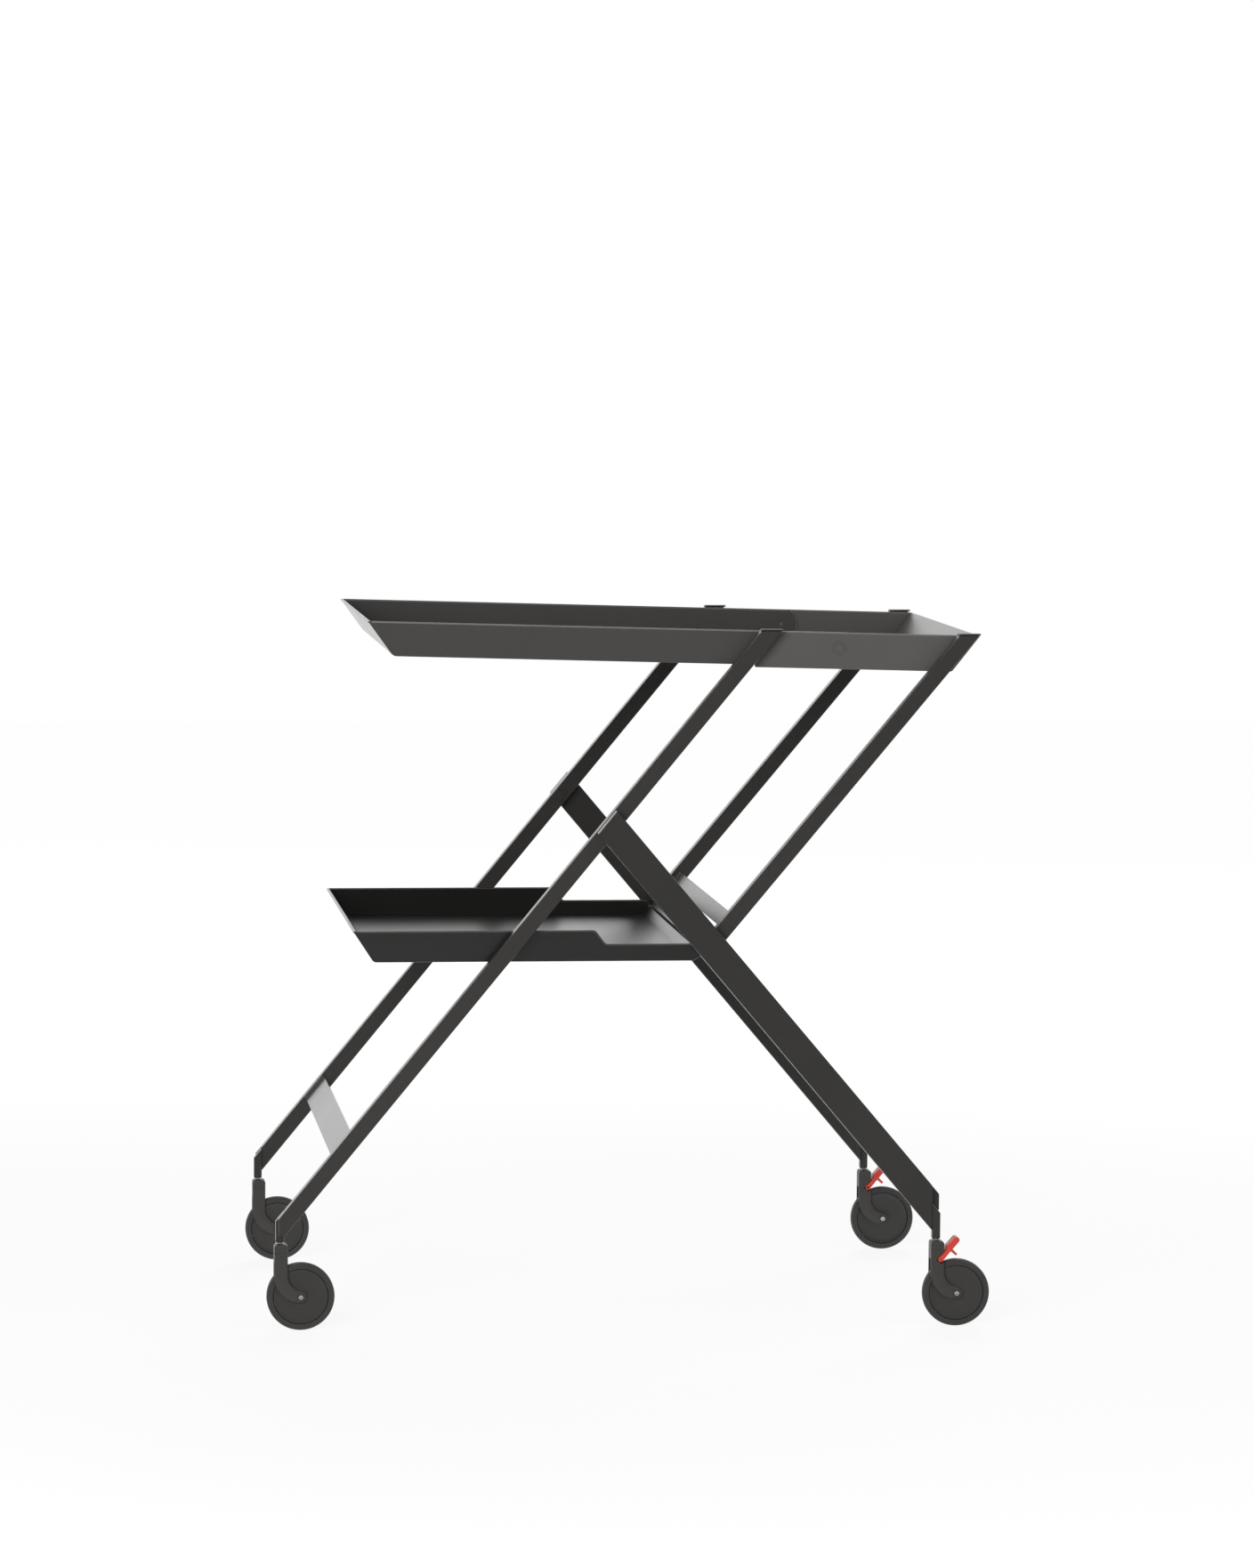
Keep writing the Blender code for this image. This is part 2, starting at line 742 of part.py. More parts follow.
def top_tray_rear(parent):
    holder = body("top_tray_rear_axis", (tray_hinge.x, 0, tray_hinge.y), parent)
    below = -tray_wall_below - seat_gap - sheet
    tail = (tray_pivot - tray_hinge).length - tray_pin_radius - rear_tray_tail_clearance
    low_turn = 180 + math.degrees(math.asin(-below / tail))
    slant_line = Vector((tray_rear_slant, tray_wall_above - below))
    top_end = tray_rear_end + tray_rear_slant
    tail_arc = arc(Vector((0, 0)), tail, low_turn, 180)
    corners = [(at_tray(point.x, point.y), 0) for point in tail_arc]
    corners += [
        (at_tray(tray_wall_above * bar_line.x / bar_line.y - tail, tray_wall_above), 0),
        (at_tray(top_end, tray_wall_above), 0),
        (at_tray(tray_rear_end, below), tray_rear_corner_round),
    ]
    piece = tray_piece("top_tray_rear", rounded(corners), rear_tray_outer, holder)
    step = sheet * slant_line.length / slant_line.y
    lip_top = below + sheet
    inner_low = tray_rear_end - step + slant_line.x * sheet / slant_line.y
    inner_top = top_end - step + slant_line.x * overrun / slant_line.y
    lip_start = tray_floor_end - rear_tray_lip
    inside = [
        at_tray(-tail - overrun, tray_wall_above + overrun),
        at_tray(inner_top, tray_wall_above + overrun),
        at_tray(inner_low, lip_top),
        at_tray(lip_start, lip_top),
        at_tray(lip_start, below - overrun),
        at_tray(-tail - overrun, below - overrun),
    ]
    carve(piece, inside, -rear_tray_inner, rear_tray_inner)
    drill_across(piece, tray_hinge, hinge_pin_radius + pin_clearance, rear_tray_outer)
    return holder


# Lower tray, carried by the rear legs

def lower_tray(parent):
    holder = body("lower_tray_axis", (lower_pivot.x, 0, lower_pivot.y), parent)
    below = -lower_tray_floor_drop
    floor_top = below + sheet
    high, low = below + lower_tray_wall, below + lower_tray_low_wall
    front = -lower_tray_front_reach
    rear = -lower_tray_rear_setback
    ear = arc(Vector((0, 0)), lower_tray_ear, -lower_tray_ear_deg, lower_tray_ear_deg)
    corners = [
        (at_lower_tray(front, high), 0),
        (at_lower_tray(-lower_tray_notch_start, high), lower_tray_notch_top_round),
        (at_lower_tray(-lower_tray_notch_start + lower_tray_notch_slope, low), lower_tray_notch_foot_round),
        (at_lower_tray(ear[-1].x, low), 0),
    ]
    corners += [(at_lower_tray(point.x, point.y), 0) for point in reversed(ear)]
    corners += [
        (at_lower_tray(rear + lower_tray_ear_setback, below), 0),
        (at_lower_tray(front + lower_tray_front_slant, below), lower_tray_corner_round),
    ]
    piece = tray_piece("lower_tray", rounded(corners), lower_tray_half_width, holder)
    inner_half = lower_tray_half_width - sheet
    slant = Vector((lower_tray_front_slant, -lower_tray_wall))
    step = sheet * slant.length / lower_tray_wall
    front_run = lower_tray_front_slant / lower_tray_wall
    rear_run = lower_tray_rear_slant / lower_tray_low_wall
    rear_step = sheet * math.hypot(1, rear_run)
    inside = rounded([
        (at_lower_tray(front + step - front_run * overrun, high + overrun), 0),
        (at_lower_tray(rear + rear_run * (lower_tray_wall + overrun), high + overrun), 0),
        (at_lower_tray(rear + rear_run * sheet, floor_top), 0),
        (at_lower_tray(front + lower_tray_front_slant + step - front_run * sheet, floor_top),
         lower_tray_corner_round - sheet),
    ])
    carve(piece, inside, -inner_half, inner_half)
    behind = [
        at_lower_tray(rear + rear_step + rear_run * (lower_tray_wall + overrun), high + overrun),
        at_lower_tray(lower_tray_ear + overrun + rear_run * lower_tray_wall, high + overrun),
        at_lower_tray(lower_tray_ear + overrun, below - overrun),
        at_lower_tray(rear + rear_step - rear_run * overrun, below - overrun),
    ]
    carve(piece, behind, -inner_half, inner_half)
    drill_across(piece, lower_pivot, lower_pin_radius + pin_clearance, lower_tray_half_width)
    return holder


# Casters

def fork_outline():
    """The fork in side view, with the swivel axis at zero and the wheel behind it."""
    axle = Vector((trail, wheel_radius))
    outer = Vector((fork_outer_round - fork_front, fork_outer_height))
    inner = Vector((fork_inner_round + fork_back, fork_inner_height))
    left = arc(outer, fork_outer_round, 180, fork_outer_end_deg, steps=ARC_STEPS + 2)
    eye = arc(axle, fork_eye_radius, fork_eye_start_deg, fork_eye_end_deg, steps=ARC_STEPS * 2)
    right = arc(inner, fork_inner_round, fork_outer_end_deg, 180, steps=ARC_STEPS)
    top = rounded([
        (Vector((fork_back, fork_inner_height)), 0),
        (Vector((fork_back, fork_height)), fork_top_round),
        (Vector((-fork_front, fork_height)), fork_top_round),
        (Vector((-fork_front, fork_outer_height)), 0),
    ])
    return left + eye + right + top[1:-1]


def fork_slot():
    """The space for the wheel: a window at the front of the fork, and an arch over the wheel behind it."""
    reach = wheel_radius + wheel_clearance
    start = math.degrees(math.acos((fork_slot_front + trail) / reach))
    arch = arc(Vector((trail, wheel_radius)), reach, 180 - start, slot_arch_end_deg, steps=ARC_STEPS * 2)
    front = -fork_front - overrun
    window = [Vector((front, -overrun)), Vector((front, fork_slot_height))]
    window.append(Vector((-fork_slot_front, fork_slot_height)))
    return window + arch + [Vector((arch[-1].x, -overrun))]


def lever_points():
    """Centre line, pad direction and pivot of a brake lever in side view."""
    pivot = Vector((lever_pivot_back, lever_pivot_height))
    line = direction(lever_angle_deg)
    return pivot, line, normal_of(line)


def lever_outline():
    """A lever that rises from its pivot, thicker at the pad, with a prong that meets the tyre."""
    pivot, line, side = lever_points()
    thin, thick = lever_thickness / 2, lever_pad_thickness - lever_thickness / 2
    pad = lever_length * lever_pad_share
    prong = lever_length * lever_prong_at_share
    prong_half = lever_prong_thickness / 2
    tip = lever_length - lever_pad_thickness / 2
    heel = math.degrees(math.atan2(side.y, side.x))
    points = arc(pivot, lever_heel, heel, heel + 180, steps=ARC_STEPS)
    points += [
        pivot + line * (prong - prong_half) - side * thin,
        pivot + line * (prong - prong_half) - side * (thin + lever_prong_length),
        pivot + line * (prong + prong_half) - side * (thin + lever_prong_length),
        pivot + line * (prong + prong_half) - side * thin,
    ]
    middle = pivot + line * tip + side * (thick - thin) / 2
    points += arc(middle, lever_pad_thickness / 2, heel - 180, heel, steps=ARC_STEPS)
    points += [pivot + line * pad + side * thick, pivot + line * (pad - thin) + side * thin]
    return points


def fork_mesh_object(name, place, holder, braked):
    mesh = prism_mesh(name, fork_outline(), -fork_width / 2, fork_width / 2)
    fork = new_object(name, mesh, holder, place, black_nylon)
    ease(fork, fork_edge_round)
    x, middle, _ = place
    slot = [point + Vector((x, 0)) for point in fork_slot()]
    carve(fork, slot, middle - fork_slot_width / 2, middle + fork_slot_width / 2)
    drill(
        fork, Vector((x + trail, wheel_radius)), axle_radius + pin_clearance,
        middle - fork_width, middle + fork_width,
    )
    bore = lathe_mesh(
        f"{name}_bore",
        [
            (swivel_pin_radius + pin_clearance, fork_height - swivel_pin_bite - pin_clearance),
            (swivel_pin_radius + pin_clearance, fork_height + overrun),
        ],
        upright=True,
        steps=PIN_STEPS,
    )
    cutter = cutter_object(f"{name}_swivel_bore", bore)
    cutter.location = (x, middle, 0)
    cut(fork, cutter)
    if braked:
        pivot, line, side = lever_points()
        pivot = pivot + Vector((x, 0))
        reach = lever_length / 2
        heel = lever_heel + lever_clearance
        upper = direction(lever_angle_deg)
        lower = direction(lever_angle_deg - lever_swing_deg)
        notch = [
            pivot + normal_of(upper) * heel - upper * heel,
            pivot + normal_of(upper) * heel + upper * reach,
            pivot - normal_of(lower) * heel + lower * reach,
            pivot - normal_of(lower) * heel - upper * heel,
        ]
        for outward in (-1, 1):
            inner = middle + outward * lever_tongue_width / 2
            carve(fork, notch, inner, middle + outward * (fork_width / 2 + overrun))
        drill(fork, pivot, lever_pin_radius + pin_clearance, middle - fork_width, middle + fork_width)
    return fork


def wheel_pieces(name, axle_place, holder):
    """A rubber tyre on a nylon core, turning on a plain axle."""
    inner = wheel_radius - tyre_thickness
    half = tyre_width / 2
    tread = arc(Vector((half - tyre_round, wheel_radius - tyre_round)), tyre_round, 0, 90, steps=ARC_STEPS // 2)
    tyre_profile = [(inner, half)] + [(point.y, point.x) for point in tread]
    tyre_profile += [(radius, -along) for radius, along in reversed(tyre_profile)]
    tyre = lathe_mesh(f"tyre_{name}", tyre_profile, ring=True)
    new_object(f"tyre_{name}", tyre, holder, axle_place, black_tyre)
    bore = axle_radius + pin_clearance
    rim = inner - seat_gap
    band = rim - core_rim_band
    rim_half, web_half = core_rim_width / 2, core_web_width / 2
    core_half = [
        (rim, rim_half), (band, rim_half), (band - (rim_half - web_half), web_half),
        (hub_radius + (rim_half - web_half), web_half), (hub_radius, rim_half), (bore, rim_half),
    ]
    core_profile = core_half + [(radius, -along) for radius, along in reversed(core_half)]
    core = lathe_mesh(f"wheel_core_{name}", core_profile, ring=True)
    new_object(f"wheel_core_{name}", core, holder, axle_place, black_core)


def lever(name, place, holder):
    mesh = prism_mesh(f"brake_lever_{name}", lever_outline(), -lever_width / 2, lever_width / 2)
    x, middle, _ = place
    pivot, _, _ = lever_points()
    for vertex in mesh.vertices:
        vertex.co.x -= pivot.x
        vertex.co.z -= pivot.y
    lever_place = (x + pivot.x, middle, pivot.y)
    axis = body(f"brake_lever_{name}_axis", lever_place, holder)
    piece = new_object(f"brake_lever_{name}", mesh, axis, lever_place, red_nylon)
    gap = [
        Vector((x - fork_front, pivot.y - lever_length)), Vector((x - fork_front, pivot.y + lever_length)),
        Vector((x + fork_back + lever_clearance, pivot.y + lever_length)),
        Vector((x + fork_back + lever_clearance, pivot.y - lever_length)),
    ]
    tongue = lever_tongue_width / 2 + lever_side_gap
    carve(piece, gap, middle - tongue, middle + tongue)
    drill(
        piece, Vector((x + pivot.x, pivot.y)), lever_pin_radius + pin_clearance,
        middle - fork_width, middle + fork_width,
    )
    half = lever_width / 2
    pin_mesh = lathe_mesh(
        f"brake_pin_{name}", [(lever_pin_radius, -half), (lever_pin_radius, half)], steps=PIN_STEPS
    )
    new_object(f"brake_pin_{name}", pin_mesh, holder, lever_place, dark_pin)


def caster(name, stem_x, middle, holder, braked):
    swivel = body(f"caster_{name}_axis", (stem_x, middle, 0), holder)
    place = (stem_x, middle, 0)
    fork_mesh_object(f"caster_fork_{name}", place, swivel, braked)
    half = fork_width / 2 + axle_proud
    axle_place = (stem_x + trail, middle, wheel_radius)
    axle = lathe_mesh(f"wheel_axle_{name}", [(axle_radius, -half), (axle_radius, half)], steps=PIN_STEPS)
    new_object(f"wheel_axle_{name}", axle, swivel, axle_place, bright_steel)
    wheel_axis = body(f"wheel_{name}_axis", axle_place, swivel)
    wheel_pieces(name, axle_place, wheel_axis)
    low, high = fork_height - swivel_pin_bite, stem_base + swivel_pin_bite
    swivel_pin = lathe_mesh(
        f"swivel_pin_{name}", [(swivel_pin_radius, low), (swivel_pin_radius, high)],
        upright=True, steps=PIN_STEPS,
    )
    new_object(f"swivel_pin_{name}", swivel_pin, holder, place, bright_steel)
    if braked:
        lever(name, place, swivel)


def clear_scene():
    for obj in list(bpy.data.objects):
        bpy.data.objects.remove(obj, do_unlink=True)


SIDES = (("left", -1), ("right", 1))

clear_scene()
front = front_frame()
rear = rear_legs(front)
rear_struts(rear)
tray = top_tray_front(front)
top_tray_rear(tray)
lower_tray(rear)
for side_name, side in SIDES:
    caster(f"front_{side_name}", front_stem_x, side * front_stem_offset, front, braked=False)
    caster(f"rear_{side_name}", rear_stem_x, side * rear_stem_offset, rear, braked=True)
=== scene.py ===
"""Looks of the folding serving trolley: powder coated frame and trays, nylon casters and a white studio."""

import math

import bmesh
import bpy
from mathutils import Matrix, Vector


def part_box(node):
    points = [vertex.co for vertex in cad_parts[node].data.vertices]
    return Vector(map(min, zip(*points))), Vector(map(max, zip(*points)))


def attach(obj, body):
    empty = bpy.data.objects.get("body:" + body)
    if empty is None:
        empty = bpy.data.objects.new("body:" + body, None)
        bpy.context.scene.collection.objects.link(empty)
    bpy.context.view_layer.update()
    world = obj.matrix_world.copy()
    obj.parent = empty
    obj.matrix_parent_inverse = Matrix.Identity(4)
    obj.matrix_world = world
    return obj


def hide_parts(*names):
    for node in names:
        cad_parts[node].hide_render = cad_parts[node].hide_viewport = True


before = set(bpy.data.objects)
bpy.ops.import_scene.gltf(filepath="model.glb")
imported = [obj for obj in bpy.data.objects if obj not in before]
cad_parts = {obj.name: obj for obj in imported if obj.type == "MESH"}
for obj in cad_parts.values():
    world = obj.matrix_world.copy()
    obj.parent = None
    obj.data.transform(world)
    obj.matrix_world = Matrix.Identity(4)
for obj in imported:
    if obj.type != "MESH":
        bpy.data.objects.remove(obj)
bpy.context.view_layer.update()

# Sizes of the casters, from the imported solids
fork_low, fork_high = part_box("caster_fork_front_left")
axle_low, axle_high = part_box("wheel_axle_front_left")
swivel_low, swivel_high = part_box("swivel_pin_front_left")
FORK_HEIGHT = fork_high[2]
FORK_HALF_WIDTH = (fork_high[1] - fork_low[1]) / 2
WHEEL_RADIUS = (axle_low[2] + axle_high[2]) / 2
TRAIL = (axle_low[0] + axle_high[0] - swivel_low[0] - swivel_high[0]) / 2

# The fork in side view, measured from the floor under its swivel axis
FORK_FRONT = 0.0054
FORK_BACK = 0.0075
OUTER_ROUND, OUTER_CENTRE_HEIGHT = 0.0258, 0.0525
INNER_ROUND, INNER_CENTRE_HEIGHT = 0.0150, 0.0530
LEG_END_DEG = 262
EYE_RADIUS = 0.0054
EYE_START_DEG, EYE_END_DEG = -85, 75
HEAD_DEPTH = 0.0080
HEAD_ROUND = 0.003
HEAD_STEP = 0.0004
FORK_EDGE = 0.0010
SLOT_HALF_WIDTH = 0.0058
SLOT_HEIGHT = 0.0655
SLOT_FRONT = 0.0012
SLOT_END_DEG = 20
WHEEL_GAP = 0.0015

# How far a cutter reaches past the fork: along it, under the floor, over its head and to its sides
CUT_ALONG = 0.03
CUT_UNDER = 0.01
CUT_OVER = 0.1
CUT_SIDE = 0.012

# The trays: the slope of the upper one in degrees, and the beads along the rims, in a lighter coat that is a
# painted highlight
TRAY_TILT = 1.3
RIM_INSET = 0.0010
RIM_ROUND = 0.00112
RIM_SINK = 0.0009
RIM_BEND = 0.003
FRONT_RIM_PAST_HINGE = 0.0075
REAR_RIM_FROM_TAIL = 0.014
SEAM_INSET = 0.0021
SEAM_RADIUS = 0.0163
SEAM_START_DEG, SEAM_END_DEG = 56, -42
SEAM_BEAD = 0.0004

# The lower tray's low wall, measured from its pivot and from its rim
LOW_WALL_DROP = 0.0133
LOW_WALL_END = 0.004
LOW_WALL_START = 0.0917
FULL_WALL_END = 0.1017

# Rivets: head and shank radii, and the depth of a head
HINGE_HEAD, HINGE_SHANK = 0.0063, 0.0025
PIVOT_HEAD, PIVOT_SHANK = 0.0065, 0.0035
RIVET_HEAD_DEPTH = 0.0007

# The brake lever in side view
LEVER_PIVOT = Vector((0.0042, 0.0652))
LEVER_ANGLE = 48.6
LEVER_HEEL = 0.0026
LEVER_EDGE = 0.0007
LEVER_HALF_WIDTH = 0.0074
LEVER_TONGUE_GAP = 0.0045
FORK_TONGUE = 0.0041
PAD_CENTRE_ALONG, PAD_CENTRE_OUT, PAD_RADIUS = 0.0242, 0.0008, 0.0028
NOTCH_MARGIN, NOTCH_LENGTH, NOTCH_DEPTH = 0.0032, 0.0135, 0.0062
RIDGE_ALONG, RIDGE_OUT, RIDGE_STEP = 0.0142, 0.0035, 0.0022

# The angle between two faces, in degrees, from which an edge is sharp or gets a bevel
SHARP_EDGE = 38
BEVELLED_EDGE = 35

# The photograph's camera: its image height and focal length in pixels, its place and its turns in degrees
PHOTO_HEIGHT = 1762
FOCAL_LENGTH = 6400
SENSOR_HEIGHT = 36
CAMERA_PLACE = (-0.6424, -5.5724, 0.9940)
YAW, PITCH, ROLL = 6.759, 4.979, 0.461


# Shader groups

def add_node(tree, kind, place=(0, 0), **values):
    """A node with its properties and inputs set by name."""
    node = tree.nodes.new(kind)
    node.location = place
    for name, value in values.items():
        if hasattr(node, name):
            setattr(node, name, value)
        else:
            node.inputs[name.replace("_", " ")].default_value = value
    return node


def new_group(name, inputs, outputs):
    """A shader group with named sockets, and its input and output nodes."""
    group = bpy.data.node_groups.new(name, "ShaderNodeTree")
    for socket_name, kind, value in inputs:
        socket = group.interface.new_socket(socket_name, in_out="INPUT", socket_type=kind)
        socket.default_value = value
    for socket_name, kind in outputs:
        group.interface.new_socket(socket_name, in_out="OUTPUT", socket_type=kind)
    return group, group.nodes.new("NodeGroupInput"), group.nodes.new("NodeGroupOutput")


def object_noise(group, scale_socket, detail):
    """Noise on Object coordinates."""
    coordinates = group.nodes.new("ShaderNodeTexCoord")
    noise = add_node(group, "ShaderNodeTexNoise", Detail=detail)
    group.links.new(coordinates.outputs["Object"], noise.inputs["Vector"])
    group.links.new(scale_socket, noise.inputs["Scale"])
    return noise.outputs["Fac"]


def spread(group, source, low, high):
    """Maps the middle of a noise to a range."""
    mapped = add_node(group, "ShaderNodeMapRange")
    mapped.inputs["From Min"].default_value = 0.3
    mapped.inputs["From Max"].default_value = 0.7
    group.links.new(source, mapped.inputs["Value"])
    for socket, value in (("To Min", low), ("To Max", high)):
        if isinstance(value, float):
            mapped.inputs[socket].default_value = value
        else:
            group.links.new(value, mapped.inputs[socket])
    return mapped.outputs["Result"]


def cloudy_finish_group():
    """Slow changes of tone and gloss over a large face, as a sprayed or moulded skin has."""
    group, given, result = new_group(
        "cloudy finish",
        [
            ("Colour", "NodeSocketColor", (0.05, 0.05, 0.05, 1)),
            ("Cloud scale", "NodeSocketFloat", 7.0),
            ("Dull", "NodeSocketFloat", 0.45),
            ("Glossy", "NodeSocketFloat", 0.35),
        ],
        [("Colour", "NodeSocketColor"), ("Roughness", "NodeSocketFloat")],
    )
    cloud = object_noise(group, given.outputs["Cloud scale"], 3.0)
    shade = add_node(group, "ShaderNodeHueSaturation")
    group.links.new(spread(group, cloud, 0.93, 1.07), shade.inputs["Value"])
    group.links.new(given.outputs["Colour"], shade.inputs["Color"])
    group.links.new(shade.outputs["Color"], result.inputs["Colour"])
    gloss = spread(group, cloud, given.outputs["Glossy"], given.outputs["Dull"])
    group.links.new(gloss, result.inputs["Roughness"])
    return group


def fine_grain_group():
    """The fine texture of a powder coat or a spark-eroded mould, as a normal."""
    group, given, result = new_group(
        "fine grain",
        [
            ("Grain scale", "NodeSocketFloat", 1500.0),
            ("Height", "NodeSocketFloat", 0.12),
        ],
        [("Normal", "NodeSocketVector")],
    )
    grain = object_noise(group, given.outputs["Grain scale"], 2.0)
    bump = add_node(group, "ShaderNodeBump", Distance=0.0001)
    group.links.new(grain, bump.inputs["Height"])
    group.links.new(given.outputs["Height"], bump.inputs["Strength"])
    group.links.new(bump.outputs["Normal"], result.inputs["Normal"])
    return group


def settled_dust_group():
    """A thin pale film on what faces up, broken by noise."""
    group, given, result = new_group(
        "settled dust",
        [
            ("Colour", "NodeSocketColor", (0.05, 0.05, 0.05, 1)),
            ("Dust colour", "NodeSocketColor", (0.32, 0.31, 0.30, 1)),
            ("Amount", "NodeSocketFloat", 0.05),
            ("Patch scale", "NodeSocketFloat", 60.0),
        ],
        [("Colour", "NodeSocketColor")],
    )
    geometry = group.nodes.new("ShaderNodeNewGeometry")
    axes = group.nodes.new("ShaderNodeSeparateXYZ")
    group.links.new(geometry.outputs["Normal"], axes.inputs[0])
    patches = spread(group, object_noise(group, given.outputs["Patch scale"], 4.0), 0.2, 1.0)
    faces_up = add_node(group, "ShaderNodeMath", operation="MULTIPLY", use_clamp=True)
    group.links.new(axes.outputs["Z"], faces_up.inputs[0])
    group.links.new(patches, faces_up.inputs[1])
    share = add_node(group, "ShaderNodeMath", operation="MULTIPLY")
    group.links.new(faces_up.outputs[0], share.inputs[0])
    group.links.new(given.outputs["Amount"], share.inputs[1])
    mix = add_node(group, "ShaderNodeMix", data_type="RGBA")
    group.links.new(share.outputs[0], mix.inputs["Factor"])
    group.links.new(given.outputs["Colour"], mix.inputs[6])
    group.links.new(given.outputs["Dust colour"], mix.inputs[7])
    group.links.new(mix.outputs[2], result.inputs["Colour"])
    return group


cloudy_finish = cloudy_finish_group()
fine_grain = fine_grain_group()
settled_dust = settled_dust_group()


def finish(name, colour, glossy, dull, grain_scale, grain_height, cloud_scale=7.0, dust=0.04, **sockets):
    """A material from the shared groups, with constants on the shader's own sockets."""
    material = bpy.data.materials.new(name)
    material.use_nodes = True
    tree = material.node_tree
    shader = tree.nodes["Principled BSDF"]
    for socket_name, value in sockets.items():
        shader.inputs[socket_name.replace("_", " ")].default_value = value
    cloud = add_node(tree, "ShaderNodeGroup", (-700, 100), node_tree=cloudy_finish)
    cloud.inputs["Colour"].default_value = (*colour, 1)
    cloud.inputs["Cloud scale"].default_value = cloud_scale
    cloud.inputs["Glossy"].default_value = glossy
    cloud.inputs["Dull"].default_value = dull
    film = add_node(tree, "ShaderNodeGroup", (-400, 150), node_tree=settled_dust)
    film.inputs["Amount"].default_value = dust
    grain = add_node(tree, "ShaderNodeGroup", (-400, -200), node_tree=fine_grain)
    grain.inputs["Grain scale"].default_value = grain_scale
    grain.inputs["Height"].default_value = grain_height
    tree.links.new(cloud.outputs["Colour"], film.inputs["Colour"])
    tree.links.new(film.outputs["Colour"], shader.inputs["Base Color"])
    tree.links.new(cloud.outputs["Roughness"], shader.inputs["Roughness"])
    tree.links.new(grain.outputs["Normal"], shader.inputs["Normal"])
    return material


# The clear, hard skin of a baked powder coat. The lower tray's is a little stronger.
skin = {"Specular_IOR_Level": 0.20, "Coat_Weight": 0.9, "Coat_Roughness": 0.27, "Coat_IOR": 1.33}
bar_coat = finish("bar powder coat", (0.036, 0.0345, 0.0325), 0.30, 0.38, 1500.0, 0.012, **skin)
# The legs and stems: the bars' paint, a little darker as painted shade
leg_shade_coat = finish("leg coat with painted shade", (0.031, 0.0298, 0.0282), 0.30, 0.38, 1500.0, 0.012, **skin)
tray_coat = finish("tray powder coat", (0.060, 0.0578, 0.0546), 0.26, 0.34, 1500.0, 0.010, **skin)
# The rear part of the upper tray: the same tray paint, lighter as painted light
rear_tray_light_coat = finish("rear tray coat with painted light", (0.095, 0.0915, 0.087), 0.26, 0.34, 1500.0, 0.010, **skin)
lower_skin = {"Specular_IOR_Level": 0.30, "Coat_Weight": 1.0, "Coat_Roughness": 0.29, "Coat_IOR": 1.60}
# The lower tray: the upper trays' paint, much darker as painted shade
lower_tray_shade_coat = finish(
    "lower tray coat with painted shade", (0.0095, 0.0089, 0.0083), 0.30, 0.36, 1500.0, 0.008, **lower_skin)
# The cross plates: the frame's paint, lighter as a painted sheen
plate_sheen_coat = finish("cross plate coat with painted sheen", (0.080, 0.078, 0.075), 0.24, 0.30, 1500.0, 0.006, **skin)
# The beads along the rims and the seam: the trays' paint, much lighter as a painted highlight
rim_skin = {**skin, "cloud_scale": 30.0}
rim_highlight_coat = finish("painted highlight on the rims", (0.150, 0.146, 0.140), 0.24, 0.32, 1500.0, 0.006, **rim_skin)
lower_rim_highlight_coat = finish(
    "painted highlight on the lower rims", (0.075, 0.073, 0.070), 0.24, 0.32, 1500.0, 0.006, **rim_skin)
cap_plastic = finish("end cap plastic", (0.018, 0.0172, 0.0164), 0.40, 0.52, 900.0, 0.16)
fork_nylon = finish("fork nylon", (0.044, 0.0425, 0.0395), 0.36, 0.46, 1100.0, 0.12, cloud_scale=30.0)
core_nylon = finish("wheel core nylon", (0.038, 0.0365, 0.035), 0.42, 0.52, 1100.0, 0.14, cloud_scale=24.0)
tyre_rubber = finish(
    "tyre rubber", (0.040, 0.039, 0.0375), 0.42, 0.56, 2200.0, 0.16, cloud_scale=40.0, dust=0.06)
axle_steel = finish(
    "turned axle steel", (0.66, 0.65, 0.62), 0.20, 0.32, 2600.0, 0.06,
    cloud_scale=300.0, dust=0.0, Metallic=1.0)
pin_steel = finish(
    "blackened pin steel", (0.050, 0.048, 0.046), 0.34, 0.46, 1800.0, 0.08, dust=0.0, Metallic=0.4)
lever_nylon = finish(
    "red lever nylon", (0.62, 0.050, 0.032), 0.26, 0.36, 1300.0, 0.08,
    cloud_scale=60.0, dust=0.12, Specular_IOR_Level=0.6)


# Mesh helpers

def arc(centre, radius, start_deg, end_deg, steps):
    """Points of an arc in side view."""
    points = []
    for i in range(steps + 1):
        angle = math.radians(start_deg + (end_deg - start_deg) * i / steps)
        points.append(Vector((centre[0] + radius * math.cos(angle), centre[1] + radius * math.sin(angle))))
    return points


def prism(outline, low, high):
    """A closed outline of the side view, filled between two distances across."""
    shape = bmesh.new()
    face = shape.faces.new([shape.verts.new((p[0], low, p[1])) for p in outline])
    pushed = bmesh.ops.extrude_face_region(shape, geom=[face])
    moved = [item for item in pushed["geom"] if isinstance(item, bmesh.types.BMVert)]
    bmesh.ops.translate(shape, verts=moved, vec=(0, high - low, 0))
    bmesh.ops.recalc_face_normals(shape, faces=shape.faces)
    return shape


